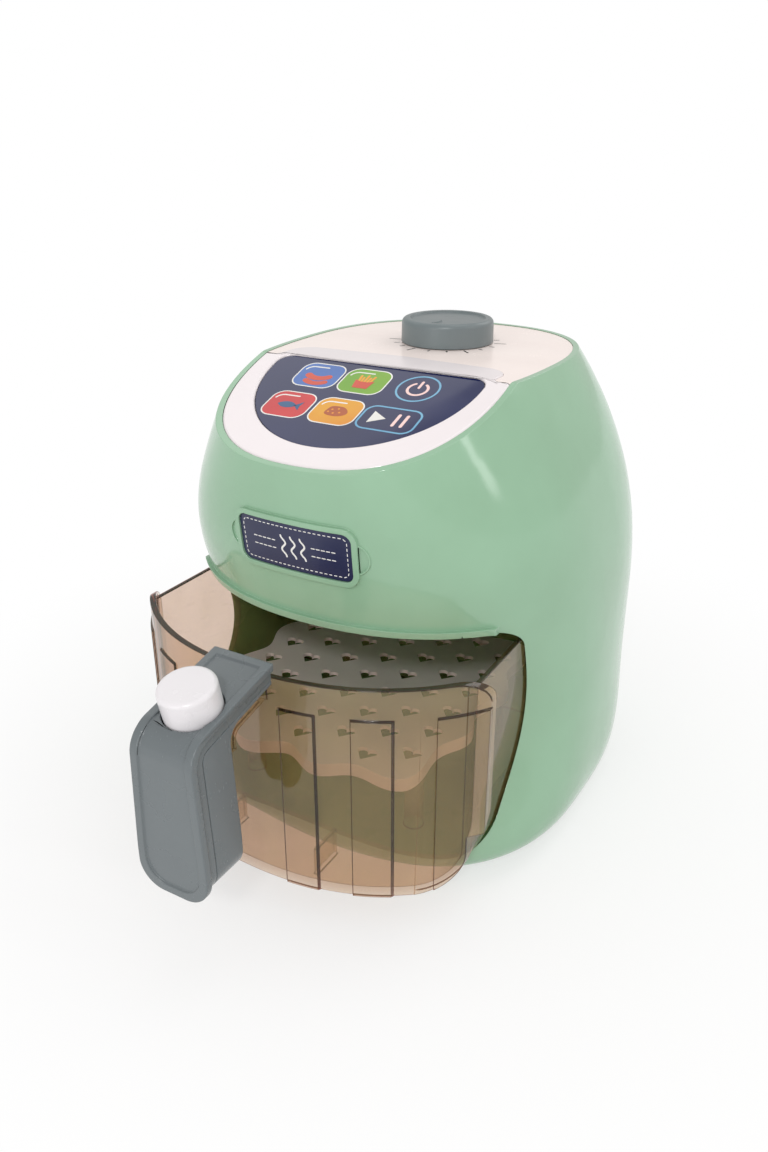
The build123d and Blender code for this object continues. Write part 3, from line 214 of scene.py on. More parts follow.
# Each comment says what the finish gives the eye
finishes = {
    # ABS from a polished mould: clear gloss, highlights with a soft edge
    "mint": solid_finish("gloss_abs_mint", "90B699", "8CB194", rough=0.13),
    # Same mint ABS on the bay, painted lighter and greener: painted bounce light in the shade of its walls
    "bay_mint_painted_bounce_light": solid_finish("gloss_abs_mint_painted_bounce_light", "7CC896", "78C291", rough=0.2),
    # ABS of the roof: warm white with broad, soft highlights
    "white": solid_finish("gloss_abs_warm_white", "F6EAE5", "F3E6E1", rough=0.24),
    # ABS of the bezel: cooler than the roof, so the frame stands off it
    "bezel_white": solid_finish("gloss_abs_cool_white", "E6DFE1", "E4DDDF", rough=0.2),
    # ABS from a blasted mould: a dull sheen that shows no reflected shapes
    "knob_grey": solid_finish(
        "satin_abs_knob_grey", "6E7678", "657274", rough=0.36, skin_depth_mm=SATIN_SKIN_MM
    ),
    # ABS of the handle: a shade darker and glossier than the knob, with a fine ripple
    "handle_grey": solid_finish(
        "satin_abs_handle_grey", "636A6D", "666D70", rough=0.26, skin_depth_mm=SATIN_SKIN_MM
    ),
    # ABS of the push button: neutral white with a small soft highlight
    "button_white": solid_finish("gloss_abs_button_white", "DFDCDF", "DCD9DC", rough=0.26),
    # Clear smoked polystyrene, moulded: see-through, with a warm haze and mirror gloss at the edges;
    # its yellow-green haze is part real haze, part painted reflection of yellow things before it and
    # painted light off the bay floor
    "smoke": clear_moulding(
        "clear_polystyrene_smoke", "FEF4EE", "E6DA96", "C08367", density=60.0, rough=0.02, veil=0.12
    ),
    # The same polystyrene at its bent and cut edges, painted darker: painted shade for the view along the
    # wall
    "smoke_painted_dark_edge": clear_moulding(
        "clear_polystyrene_painted_dark_edge", "CDA092", "E6DA96", "C08367", density=110.0, rough=0.08, veil=0.02
    ),
    # Undyed polypropylene: whitish and milky, its holes darker than its face
    "rack": milky_finish("natural_polypropylene", "E9E2DE", "DFD7D3", rough=0.3, through=0.45),
    # Printed film: even navy with a soft sheen
    "badge": solid_finish("printed_film_navy", "23284C", "1F2446", rough=0.3),
    # Film under a clear window: deep navy that mirrors the lamps
    "lens": solid_finish(
        "printed_film_gloss_navy", "182049", "1B2350",
        rough=0.07, skin_depth_mm=FILM_SKIN_MM, specular=FILM_SPECULAR,
    ),
    # Glass fibre epoxy: green with a dull varnish
    "board": solid_finish("glass_epoxy_green", "1F6B3C", "1B6137", rough=0.4),
    # Silicone rubber: light grey, almost matt
    "silicone": solid_finish("silicone_rubber_grey", "C9C9C6", "C0C0BD", rough=0.6),
    # Cast epoxy of the lamps: milky and shiny
    "led": solid_finish("epoxy_lamp_milky", "F0EEE4", "E8E6DC", rough=0.2),
    # Potting resin: black blob with a low gloss
    "chip": solid_finish("potting_resin_black", "15161A", "101115", rough=0.35),
    # Moulded rubber: matt near black with a grippy skin
    "rubber": solid_finish("rubber_foot_black", "2A2B2D", "242527", rough=0.7, skin_depth_mm=0.02),
    # Printed jacket of a cell: smooth and shiny black
    "cell": solid_finish("cell_jacket_black_gloss", "1C1E22", "17191C", rough=0.22),
    # Pressed paper cone: black, matt and fibrous
    "speaker": solid_finish("speaker_paper_black", "1B1B1D", "161618", rough=0.8, skin_depth_mm=0.03),
    # Zinc plate: light, slightly blurred metal
    "steel": metal_finish("zinc_plated_steel", "B9B9BC", "ACACB0", rough=0.28),
    # Drawn spring wire: darker metal with a dull streaky shine
    "spring": metal_finish("spring_steel_wire", "9C9DA1", "8F9094", rough=0.3),
}

node_finish = {
    "outer_shell": "mint", "base_plate": "mint", "battery_cover": "mint", "drawer_bay": "bay_mint_painted_bounce_light",
    "top_panel": "white", "control_bezel": "bezel_white", "knob_ratchet": "white",
    "display_lens": "lens", "nameplate": "badge", "circuit_board": "board", "key_pad": "silicone",
    "indicator_leds": "led", "sound_chip": "chip", "speaker": "speaker", "battery_cells": "cell",
    "battery_contacts": "spring", "click_spring": "spring", "button_spring": "spring",
    "click_screw": "steel", "board_screws": "steel", "panel_screws": "steel", "base_screws": "steel",
    "bay_screws": "steel", "cover_screw": "steel", "knob_screw": "steel", "handle_screws": "steel",
    "rubber_feet": "rubber", "timer_knob": "knob_grey", "drawer_tub": "smoke", "food_rack": "rack",
    "handle_shell": "handle_grey", "handle_back": "handle_grey", "release_button": "button_white",
}


def dress(piece, material):
    """Gives every slot of a piece one material."""
    if not piece.material_slots:
        piece.data.materials.append(material)
    for slot in piece.material_slots:
        slot.material = material


for name, finish in node_finish.items():
    dress(nodes[name], finishes[finish])

# Edges that the moulds leave round: the piece's body and the edge's width in mm
moulded_edges = {
    "outer_shell": ("body", 0.2),
    "control_bezel": ("body", 0.7),
    "display_lens": ("body", 0.2),
    "nameplate": ("body", 0.2),
    "timer_knob": ("knob", 0.3),
    "handle_shell": ("drawer", 0.5),
    "handle_back": ("drawer", 0.4),
    "drawer_tub": ("drawer", 0.4),
    "release_button": ("button", 0.3),
}

# Corners sharper than these get a round edge; the bezel's soft corners do too
EDGE_ANGLE = radians(35)
BEZEL_ANGLE = radians(12)

# Loose triangles of a node are joined within the first and flattened within the second
JOIN_MM = 0.001
FLAT_ANGLE = radians(0.5)

# The tub's faces above this height that look up this steeply are its rim, which takes the painted dark edge
RIM_LOW_MM = 98.0
RIM_FACING = 0.6


def stand_in_scene(name, mesh):
    """A new object at the origin that holds a mesh."""
    piece = bpy.data.objects.new(name, mesh)
    bpy.context.scene.collection.objects.link(piece)
    return piece


def plain_mesh(piece):
    """Keeps the mesh that an object's modifiers make and takes the modifiers away."""
    bpy.context.view_layer.update()
    made = bpy.data.meshes.new_from_object(piece.evaluated_get(bpy.context.evaluated_depsgraph_get()))
    made.name = piece.name
    piece.modifiers.clear()
    piece.data = made


def merged_copy(node, name):
    """A copy of a node whose loose triangles are joined, flat faces made whole and shaded smooth."""
    joined = bmesh.new()
    joined.from_mesh(nodes[node].data)
    bmesh.ops.remove_doubles(joined, verts=joined.verts, dist=JOIN_MM * MM)
    bmesh.ops.dissolve_limit(joined, angle_limit=FLAT_ANGLE, verts=joined.verts, edges=joined.edges)
    for face in joined.faces:
        face.smooth = True
    mesh = bpy.data.meshes.new(name)
    joined.to_mesh(mesh)
    joined.free()
    mesh.materials.append(finishes[node_finish[node]])
    return stand_in_scene(name, mesh)


def with_round_edges(node, body, width):
    """Stands a merged copy with small round edges in a node's place, within the node's box."""
    piece = merged_copy(node, node + "_moulding")
    edge = piece.modifiers.new("edge", "BEVEL")
    edge.width = width * MM
    edge.segments = 2
    edge.limit_method = "ANGLE"
    edge.angle_limit = BEZEL_ANGLE if node == "control_bezel" else EDGE_ANGLE
    edge.use_clamp_overlap = False
    even = piece.modifiers.new("even_normals", "WEIGHTED_NORMAL")
    even.weight = 100
    # The tub's bevel faces take the painted dark edge
    if node == "drawer_tub":
        piece.data.materials.append(finishes["smoke_painted_dark_edge"])
        edge.material = 1
    plain_mesh(piece)
    low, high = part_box(node)
    for vertex in piece.data.vertices:
        vertex.co = [min(max(v, a), b) for v, a, b in zip(vertex.co, low, high)]
    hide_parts(node)
    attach(piece, body)
    return piece


mouldings = {node: with_round_edges(node, *edge) for node, edge in moulded_edges.items()}
# The tub's rim takes the painted dark edge too
for face in mouldings["drawer_tub"].data.polygons:
    if face.normal.z > RIM_FACING and face.center.z > RIM_LOW_MM * MM:
        face.material_index = 1

# The button's spring: a merged copy that rides on the drawer, with a mesh of its own
spring = merged_copy("button_spring", "button_spring_coil")
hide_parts("button_spring")
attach(spring, "drawer")
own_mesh(spring)


def rounded(x, y, half_x, half_y, radius, steps=8):
    """Outline of a rounded rectangle, anticlockwise."""
    points = []
    for corner, (sx, sy) in enumerate(((1, 1), (-1, 1), (-1, -1), (1, -1))):
        for step in range(steps + 1):
            angle = (corner + step / steps) * pi / 2
            points.append((
                x + sx * (half_x - radius) + radius * cos(angle),
                y + sy * (half_y - radius) + radius * sin(angle),
            ))
    return points


def disc(x, y, radius, steps=40):
    """Outline of a circle, anticlockwise."""
    turn = [2 * pi * i / steps for i in range(steps)]
    return [(x + radius * cos(a), y + radius * sin(a)) for a in turn]


def arc(x, y, radius, first, last, steps=16):
    """Points along an arc, angles in degrees."""
    turn = [radians(first + (last - first) * i / steps) for i in range(steps + 1)]
    return [(x + radius * cos(a), y + radius * sin(a)) for a in turn]


def ribbon(points, width, cap_steps=5):
    """Outline of a stroke along points, with round ends."""
    points = [Vector(p) for p in points]
    left, right = [], []
    for i, point in enumerate(points):
        ahead = points[min(i + 1, len(points) - 1)] - points[max(i - 1, 0)]
        side = Vector((-ahead.y, ahead.x)).normalized() * width / 2
        left.append(point + side)
        right.append(point - side)

    def cap(centre, first):
        arm = first - centre
        turn = [pi * (k + 1) / (cap_steps + 1) for k in range(cap_steps)]
        return [
            centre + Vector((arm.x * cos(a) - arm.y * sin(a), arm.x * sin(a) + arm.y * cos(a)))
            for a in turn
        ]

    loop = right + cap(points[-1], right[-1]) + left[::-1] + cap(points[0], left[0])
    return [(p.x, p.y) for p in loop]


def frame_line(half_x, half_y, corner, width):
    """A rounded rectangle's line: its outline and the hole in it."""
    inner = rounded(0, 0, half_x - width, half_y - width, corner - width)
    return [rounded(0, 0, half_x, half_y, corner), inner[::-1]]


def printed(name, shapes, place, layer, material):
    """Thin solid print on the body: outlines with holes in mm, laid by place, one ink layer thick."""
    low, high = layer * INK_MM, (layer + 1) * INK_MM
    mesh = bmesh.new()
    for shape in shapes:
        loops = [[Vector((*p, 0)) for p in loop] for loop in shape]
        flat = [p for loop in loops for p in loop]
        under = [mesh.verts.new(place(p.x, p.y, low)) for p in flat]
        over = [mesh.verts.new(place(p.x, p.y, high)) for p in flat]
        for a, b, c in tessellate_polygon(loops):
            mesh.faces.new((over[a], over[b], over[c]))
            mesh.faces.new((under[c], under[b], under[a]))
        start = 0
        for loop in loops:
            count = len(loop)
            for i in range(count):
                a, b = start + i, start + (i + 1) % count
                mesh.faces.new((under[a], under[b], over[b], over[a]))
            start += count
    bmesh.ops.recalc_face_normals(mesh, faces=mesh.faces)
    data = bpy.data.meshes.new(name)
    mesh.to_mesh(data)
    mesh.free()
    piece = stand_in_scene(name, data)
    dress(piece, material)
    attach(piece, "body")
    return piece


# Where the prints lie: the sloping display, the flat roof and the nameplate, in mm
BODY_TOP = 192.5
BROW_Y = -42.0
SLOPE = radians(19.5)
KNOB_Y = 15.2
AHEAD_Y = -300
INK_MM = 0.03
slope_normal = Vector((0, -sin(SLOPE), cos(SLOPE)))
slope_origin = Vector((0, BROW_Y, BODY_TOP))
lens_lift = max(slope_normal.dot(v.co / MM - slope_origin) for v in nodes["display_lens"].data.vertices)


def on_display(x, s, lift):
    """A point over the display: x across, s up the slope from the brow, lift off the lens."""
    point = slope_origin + Vector((x, s * cos(SLOPE), s * sin(SLOPE))) + slope_normal * (lens_lift + lift)
    return point * MM


def on_roof(x, y, lift):
    """A point over the flat roof."""
    return Vector((x, y, BODY_TOP + lift)) * MM


plate_low, plate_high = (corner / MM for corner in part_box("nameplate"))
PLATE_MIDDLE = (plate_low.z + plate_high.z) / 2
PLATE_HALF_X = plate_high.x
PLATE_HALF_Z = (plate_high.z - plate_low.z) / 2
plate_data = nodes["nameplate"].data
plate_surface = BVHTree.FromPolygons(
    [v.co / MM for v in plate_data.vertices], [p.vertices[:] for p in plate_data.polygons]
)


def on_plate(x, z, lift):
    """A point over the curved nameplate, from its centre, seen from the front."""
    back = Vector((0, 1, 0))
    point = plate_surface.ray_cast(Vector((x, AHEAD_Y, PLATE_MIDDLE + z)), back)[0]
    return (point - back * lift) * MM


def ink(name, light, deep, rough=0.1):
    """Screen printed ink: a flat, strong colour with a sharp edge and its film's gloss."""
    return solid_finish(name, light, deep, rough, skin_depth_mm=FILM_SKIN_MM, specular=FILM_SPECULAR)


# Screen printed inks behind the display's clear film, where they look as glossy as the lens
inks = {
    "white": ink("screen_ink_white", "DAD8D2", "E9E9E7"),
    "cyan": ink("screen_ink_cyan", "5E9BC0", "76B0CE"),
    "blue": ink("screen_ink_blue", "3A62A6", "4A6FB4"),
    "green": ink("screen_ink_green", "639A22", "79A51F"),
    "red": ink("screen_ink_red", "B3202A", "CC3330"),
    "orange": ink("screen_ink_orange", "D08414", "D99E1C"),
    "coral": ink("screen_ink_coral", "C9482B", "BB3F2A"),
    "steel_blue": ink("screen_ink_steel_blue", "1F5580", "1A4A70"),
    "yellow": ink("screen_ink_yellow", "E59A25", "DC8C1C"),
    "brown": ink("screen_ink_brown", "B0561C", "9F4A18"),
    "pink": ink("screen_ink_pale_pink", "F0CFCB", "E9C4C0"),
    # Pad print on the bare roof: near black and duller than the plastic round it
    "black": ink("pad_print_dark_grey", "1D1B1A", "181616", rough=0.35),
}

# Touch fields: half sizes, corner and line width, and the two rows' places on the slope, in mm
FIELD_X = 10.0
FIELD_Y = 8.5
FIELD_CORNER = 5.2
OUTLINE = 0.55
BACK_ROW = -11.6
FRONT_ROW = -32.8
food_fields = {
    "blue": (-22.1, BACK_ROW),
    "green": (-1.2, BACK_ROW),
    "red": (-23.0, FRONT_ROW),
    "orange": (-1.7, FRONT_ROW),
}
POWER_FIELD = (22.1, BACK_ROW)
PLAY_FIELD = (20.9, FRONT_ROW)


def on_field(place):
    """Display coordinates measured from a field's centre."""
    return lambda x, y, lift: on_display(place[0] + x, place[1] + y, lift)


field_inside = rounded(0, 0, FIELD_X - OUTLINE, FIELD_Y - OUTLINE, FIELD_CORNER - OUTLINE)
field_line = frame_line(FIELD_X, FIELD_Y, FIELD_CORNER, OUTLINE)
field_shine = ribbon(arc(-4.6, 2.2, 3.4, 165, 95, 8) + [(1.5, 5.7)], 0.7)
for colour, place in food_fields.items():
    spot = on_field(place)
    printed(f"field_{colour}", [[field_inside]], spot, 0, inks[colour])
    printed(f"field_{colour}_outline", [field_line], spot, 0, inks["white"])
    printed(f"field_{colour}_shine", [[field_shine]], spot, 1, inks["white"])

# Plain food pictograms, in mm from a field's centre: two sausages, a carton of fries, a fish, a nugget
sausages = [
    [ribbon(arc(0.2, 5.5, 7.6, -128, -52, 10), 3.0)],
    [ribbon(arc(0.6, 2.0, 7.6, -125, -55, 10), 2.6)],
]
fries = [
    [ribbon([(x * 0.8, -1.0), (x, 3.2 + 0.8 * cos(2.5 * x))], 1.0)]
    for x in (-3.0, -1.5, 0.0, 1.5, 3.0)
]
carton = [(-4.2, 0.6), (-3.2, -4.8), (3.2, -4.8), (4.2, 0.6), (1.6, -0.4), (-1.6, -0.4)]
fish_body = arc(-0.6, -4.0, 5.6, 140, 40, 12) + arc(-0.6, 3.2, 5.6, -40, -140, 12)
fish_tail = [(2.6, -0.4), (5.8, 2.6), (5.2, -0.3), (5.8, -3.2)]
nugget = [
    ((4.6 + 0.5 * cos(3 * a + 0.6)) * cos(a), (3.6 + 0.4 * cos(2 * a)) * sin(a))
    for a in [2 * pi * i / 36 for i in range(36)]
]
crumb_places = ((-2.0, 0.8), (0.4, 1.6), (1.8, -0.6), (-0.6, -1.4), (-3.0, -0.8))
crumbs = [[disc(x, y, 0.45, 12)] for x, y in crumb_places]
pictograms = [
    ("pictogram_sausages", sausages, "blue", 1, "coral"),
    ("pictogram_fries", fries, "green", 1, "yellow"),
    ("pictogram_carton", [[carton]], "green", 2, "coral"),
    ("pictogram_fish", [[fish_body[::-1]], [fish_tail[::-1]]], "red", 1, "steel_blue"),
    ("pictogram_nugget", [[nugget]], "orange", 1, "brown"),
    ("pictogram_crumbs", crumbs, "orange", 2, "yellow"),
]
for name, shapes, field, layer, colour in pictograms:
    printed(name, shapes, on_field(food_fields[field]), layer, inks[colour])

# The power field's ring and mark, and the play field's frame and marks
power_ring = [disc(0, 0, 8.8), disc(0, 0, 8.0)[::-1]]
power_mark = [[ribbon(arc(0, -0.3, 4.0, 125, 415, 28), 1.1)], [ribbon([(0, 0.6), (0, 4.6)], 1.1)]]
play_frame = frame_line(12.0, 7.6, 4.6, 0.8)
play_mark = [(-7.6, -3.6), (-7.6, 3.8), (-1.4, 0.1)]
pause_mark = [[ribbon([(x, -3.2), (x, 3.4)], 1.3)] for x in (3.0, 6.4)]
printed("power_ring", [power_ring], on_field(POWER_FIELD), 0, inks["cyan"])
printed("power_mark", power_mark, on_field(POWER_FIELD), 0, inks["pink"])
printed("play_frame", [play_frame], on_field(PLAY_FIELD), 0, inks["cyan"])
printed("play_mark", [[play_mark]], on_field(PLAY_FIELD), 0, inks["white"])
printed("pause_mark", pause_mark, on_field(PLAY_FIELD), 0, inks["pink"])


def new_tree(name, sizes):
    """A geometry node tree with a geometry input, named size inputs and a material."""
    tree = bpy.data.node_groups.new(name, "GeometryNodeTree")
    tree.interface.new_socket("Geometry", in_out="INPUT", socket_type="NodeSocketGeometry")
    for label, kind in sizes.items():
        tree.interface.new_socket(label, in_out="INPUT", socket_type="NodeSocket" + kind)
    tree.interface.new_socket("Ink", in_out="INPUT", socket_type="NodeSocketMaterial")
    tree.interface.new_socket("Geometry", in_out="OUTPUT", socket_type="NodeSocketGeometry")
    return tree, add_node(tree, "NodeGroupInput").outputs


def lay_bars(tree, points, rotation, extent, ink_socket):
    """Ends a tree: a bar of a size and heading on every point, made real and given its material."""
    bar = add_node(tree, "GeometryNodeMeshCube", [("Size", (1, 1, 1))]).outputs["Mesh"]
    bars = add_node(
        tree,
        "GeometryNodeInstanceOnPoints",
        [("Points", points), ("Instance", bar), ("Rotation", rotation), ("Scale", extent)],
    ).outputs[0]
    real = add_node(tree, "GeometryNodeRealizeInstances", [("Geometry", bars)]).outputs[0]
    inked = add_node(
        tree, "GeometryNodeSetMaterial", [("Geometry", real), ("Material", ink_socket)]
    ).outputs[0]
    add_node(tree, "NodeGroupOutput", [("Geometry", inked)])


def grown(name, mesh, tree, values):
    """A piece on the body, grown from a mesh by a node tree; values holds the tree's inputs by name."""
    piece = stand_in_scene(name, mesh)
    maker = piece.modifiers.new("maker", "NODES")
    maker.node_group = tree
    for item in tree.interface.items_tree:
        if item.in_out == "INPUT" and item.name in values:
            maker[item.identifier] = values[item.name]
    plain_mesh(piece)
    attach(piece, "body")
    return piece


def dial_tick_tree():
    """Ticks on a circle about the knob's axis: one in so many is long."""
    sizes = {
        "Count": "Int", "First Angle": "Float", "Step Angle": "Float", "Start Radius": "Float",
        "Short Length": "Float", "Long Length": "Float", "Long Every": "Int",
        "Width": "Float", "Thickness": "Float", "Centre": "Vector",
    }
    tree, size = new_tree("ticks_round_dial", sizes)
    index = add_node(tree, "GeometryNodeInputIndex").outputs[0]
    angle = add_node(
        tree,
        "ShaderNodeMath",
        [(0, index), (1, size["Step Angle"]), (2, size["First Angle"])],
        operation="MULTIPLY_ADD",
    ).outputs[0]
    turn = add_node(
        tree, "ShaderNodeMath", [(0, index), (1, size["Long Every"])], operation="MODULO"
    ).outputs[0]
    is_long = add_node(tree, "ShaderNodeMath", [(0, turn), (1, 0.5)], operation="LESS_THAN").outputs[0]
    length = add_node(
        tree,
        "ShaderNodeMix",
        [("Factor", is_long), ("A", size["Short Length"]), ("B", size["Long Length"])],
    ).outputs["Result"]
    middle = add_node(
        tree,
        "ShaderNodeMath",
        [(0, length), (1, 0.5), (2, size["Start Radius"])],
        operation="MULTIPLY_ADD",
    ).outputs[0]
    reach = add_node(tree, "ShaderNodeCombineXYZ", [("X", middle)]).outputs[0]
    offset = add_node(
        tree, "ShaderNodeVectorRotate", [("Vector", reach), ("Angle", angle)], rotation_type="Z_AXIS"
    ).outputs[0]
    place = add_node(
        tree, "ShaderNodeVectorMath", [(0, size["Centre"]), (1, offset)], operation="ADD"
    ).outputs[0]
    points = add_node(
        tree, "GeometryNodePoints", [("Count", size["Count"]), ("Position", place)]
    ).outputs[0]
    heading = add_node(tree, "ShaderNodeCombineXYZ", [("Z", angle)]).outputs[0]
    extent = add_node(
        tree, "ShaderNodeCombineXYZ", [("X", length), ("Y", size["Width"]), ("Z", size["Thickness"])]
    ).outputs[0]
    lay_bars(tree, points, heading, extent, size["Ink"])
    return tree


def seam_stitch_tree():
    """Stitches along a closed line, a steady pitch apart, flat on the plate's front."""
    sizes = {
        "Stitch": "Float", "Gap": "Float", "Width": "Float", "Thickness": "Float", "Outward": "Vector",
    }
    tree, size = new_tree("stitches_along_seam", sizes)
    seam = add_node(tree, "GeometryNodeMeshToCurve", [("Mesh", size["Geometry"])]).outputs[0]
    pitch = add_node(
        tree, "ShaderNodeMath", [(0, size["Stitch"]), (1, size["Gap"])], operation="ADD"
    ).outputs[0]
    spots = add_node(
        tree, "GeometryNodeCurveToPoints", [("Curve", seam), ("Length", pitch)], mode="LENGTH"
    ).outputs
    along = add_node(
        tree, "FunctionNodeAlignRotationToVector", [("Vector", spots["Tangent"])], axis="X"
    ).outputs[0]
    facing = add_node(
        tree,
        "FunctionNodeAlignRotationToVector",
        [("Rotation", along), ("Vector", size["Outward"])],
        axis="Z",
        pivot_axis="X",
    ).outputs[0]
    extent = add_node(
        tree,
        "ShaderNodeCombineXYZ",
        [("X", size["Stitch"]), ("Y", size["Width"]), ("Z", size["Thickness"])],
    ).outputs[0]
    lay_bars(tree, spots["Points"], facing, extent, size["Ink"])
    return tree


# Dial ticks round the knob, 15 of them 20 degrees apart, from rear left round the front
grown("dial_ticks", bpy.data.meshes.new("dial_ticks"), dial_tick_tree(), {
    "Count": 15,
    "First Angle": radians(-224),
    "Step Angle": radians(20),
    "Start Radius": 20.7 * MM,
    "Short Length": 2.6 * MM,
    "Long Length": 5.2 * MM,
    "Long Every": 3,
    "Width": 0.75 * MM,
    "Thickness": INK_MM * MM,
    "Centre": on_roof(0, KNOB_Y, INK_MM / 2),
    "Ink": inks["black"],
})

# Nameplate: a stitched line round the edge, and plain warm air waves between short rules, in mm
SEAM_INSET_X = 1.9
SEAM_INSET_Z = 1.7
SEAM_CORNER = 2.2
SEAM_STEP = 1.0


def seam_line():
    """The closed line that the stitches follow, laid on the plate at a short step."""
    corners = rounded(0, 0, PLATE_HALF_X - SEAM_INSET_X, PLATE_HALF_Z - SEAM_INSET_Z, SEAM_CORNER, 6)
    spots = []
    for start, end in zip(corners, corners[1:] + corners[:1]):
        a, b = Vector(start), Vector(end)
        steps = max(1, round((b - a).length / SEAM_STEP))
        spots += [a.lerp(b, i / steps) for i in range(steps)]
    mesh = bpy.data.meshes.new("badge_stitches")
    edges = [(i, (i + 1) % len(spots)) for i in range(len(spots))]
    mesh.from_pydata([on_plate(p.x, p.y, INK_MM / 2) for p in spots], edges, [])
    return mesh


grown("badge_stitches", seam_line(), seam_stitch_tree(), {
    "Stitch": 1.15 * MM,
    "Gap": 0.85 * MM,
    "Width": 0.32 * MM,
    "Thickness": INK_MM * MM,
    "Outward": (0, -1, 0),
    "Ink": inks["white"],
})
WAVE_PLACES = (-4.2, 0.0, 4.2)
WAVE_SWING = 0.9
WAVE_PITCH = 1.15
wave_heights = [-4.2 + 0.4 * i for i in range(22)]
waves = [
    [ribbon([(x + WAVE_SWING * sin(WAVE_PITCH * z), z) for z in wave_heights], 0.75, 4)]
    for x in WAVE_PLACES
]
DASH = 1.3
DASH_STARTS = (8.0, 10.1, 12.2, 14.3, 16.4)
RULE_HEIGHT = 1.6
rules = [
    [ribbon([(side * start, z), (side * (start + DASH), z)], 0.4, 3)]
    for side in (1, -1) for z in (-RULE_HEIGHT, RULE_HEIGHT) for start in DASH_STARTS
]
printed("badge_waves", waves, on_plate, 0, inks["white"])
printed("badge_rules", rules, on_plate, 0, inks["white"])

# Floor: it lies just under the feet, and fades from its shadow to plain white, in metres
FLOOR_HALF = 12.0
FLOOR_DROP = 0.0002
FADE_START = 0.11
FADE_END = 0.3
FADE_FIRST = 0.6


def paper_floor():
    """Matt paper: keeps the object's soft shadow near it and goes over to plain white further out."""
    material, tree = new_material("matt_paper_floor")
    place = add_node(tree, "ShaderNodeTexCoord").outputs["Object"]
    away = add_node(tree, "ShaderNodeVectorMath", [(0, place)], operation="LENGTH").outputs["Value"]
    limits = [("From Min", FADE_START), ("From Max", FADE_END), ("To Min", FADE_FIRST), ("To Max", 1.0)]
    fade = add_node(
        tree, "ShaderNodeMapRange", [("Value", away), *limits], interpolation_type="SMOOTHSTEP"
    ).outputs["Result"]
    seen = add_node(tree, "ShaderNodeLightPath").outputs
    straight = add_node(
        tree,
        "ShaderNodeMath",
        [(0, seen["Is Camera Ray"]), (1, seen["Is Glossy Ray"])],
        operation="MAXIMUM",
    ).outputs[0]
    shown = add_node(
        tree, "ShaderNodeMath", [(0, straight), (1, seen["Is Transmission Ray"])], operation="MAXIMUM"
    ).outputs[0]
    share = add_node(tree, "ShaderNodeMath", [(0, fade), (1, shown)], operation="MULTIPLY").outputs[0]
    paper = add_node(tree, "ShaderNodeBsdfDiffuse", [("Color", linear("EFEFEF"))]).outputs[0]
    glow = add_node(tree, "ShaderNodeEmission", [("Color", linear("FFFFFF")), ("Strength", 1.0)]).outputs[0]
    mixed = add_node(tree, "ShaderNodeMixShader", [(0, share), (1, paper), (2, glow)]).outputs[0]
    add_node(tree, "ShaderNodeOutputMaterial", [("Surface", mixed)])
    return material


floor_corners = [
    (x * FLOOR_HALF, y * FLOOR_HALF, -FLOOR_DROP) for x, y in ((-1, -1), (1, -1), (1, 1), (-1, 1))
]
floor_mesh = bpy.data.meshes.new("floor")
floor_mesh.from_pydata(floor_corners, [], [(0, 1, 2, 3)])
floor = stand_in_scene("floor", floor_mesh)
dress(floor, paper_floor())

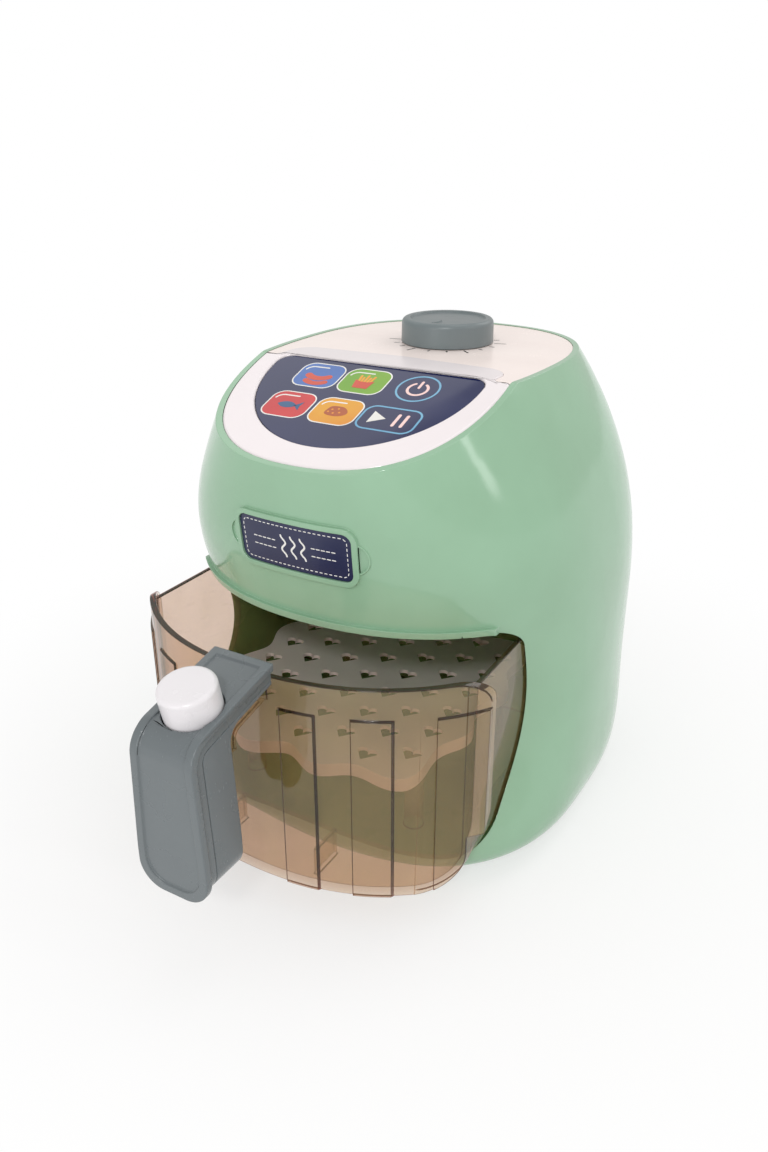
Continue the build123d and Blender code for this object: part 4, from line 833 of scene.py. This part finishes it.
# World: a dim warm room for light and reflections, plain white where it is seen directly
ROOM_STRENGTH = 0.7
world = bpy.data.worlds.new("studio")
bpy.context.scene.world = world
world.use_nodes = True
room_tree = world.node_tree
room_tree.nodes.clear()
seen = add_node(room_tree, "ShaderNodeLightPath").outputs
shown = add_node(
    room_tree,
    "ShaderNodeMath",
    [(0, seen["Is Camera Ray"]), (1, seen["Is Transmission Ray"])],
    operation="MAXIMUM",
).outputs[0]
room = add_node(
    room_tree, "ShaderNodeBackground", [("Color", linear("FFFDFB")), ("Strength", ROOM_STRENGTH)]
).outputs[0]
white = add_node(
    room_tree, "ShaderNodeBackground", [("Color", linear("FFFFFF")), ("Strength", 1.0)]
).outputs[0]
mixed = add_node(room_tree, "ShaderNodeMixShader", [(0, shown), (1, room), (2, white)]).outputs[0]
add_node(room_tree, "ShaderNodeOutputWorld", [("Surface", mixed)])


def softbox(name, place, aim, width, height, power):
    """A rectangular studio lamp at place, facing aim, in metres and watts."""
    data = bpy.data.lights.new(name, "AREA")
    data.shape = "RECTANGLE"
    data.size = width
    data.size_y = height
    data.energy = power
    lamp = bpy.data.objects.new(name, data)
    lamp.location = place
    lamp.rotation_euler = (Vector(aim) - Vector(place)).to_track_quat("-Z", "Y").to_euler()
    bpy.context.scene.collection.objects.link(lamp)


# A small key lamp for the streak beside the display, soft lamps round it, and one whose sheen
# lies on the lens
BODY_MIDDLE = (0, -0.02, 0.1)
DISPLAY_MIDDLE = (0, -0.06, 0.18)
softbox("key_lamp", (0.35, -0.95, 0.8), BODY_MIDDLE, 0.12, 0.12, 3.5)
softbox("front_lamp", (-0.15, -1.2, 0.3), BODY_MIDDLE, 0.5, 0.35, 2.0)
softbox("side_lamp", (1.3, 0.1, 0.9), BODY_MIDDLE, 0.15, 0.9, 1.8)
softbox("top_lamp", (0.1, 0.15, 1.3), BODY_MIDDLE, 0.6, 0.6, 1.8)
softbox("display_sheen_lamp", (-0.74, 0.46, 1.04), DISPLAY_MIDDLE, 0.9, 0.28, 0.6)
softbox("rear_lamp", (0.5, 1.0, 1.0), BODY_MIDDLE, 0.8, 0.6, 3.0)

# Camera: solved from the body's outline in the photograph's frame
CAMERA_PLACE = (0.1905, -0.3702, 0.2764)
CAMERA_DOWN = radians(24.65)
CAMERA_TURN = radians(29.99)
camera_data = bpy.data.cameras.new("camera")
camera_data.sensor_fit = "VERTICAL"
camera_data.sensor_height = 36.0
camera_data.lens = 30.36
camera = bpy.data.objects.new("camera", camera_data)
camera.location = CAMERA_PLACE
camera.rotation_euler = Euler((pi / 2 - CAMERA_DOWN, 0, CAMERA_TURN))
bpy.context.scene.collection.objects.link(camera)
bpy.context.scene.camera = camera
bpy.context.scene.view_settings.view_transform = "Standard"
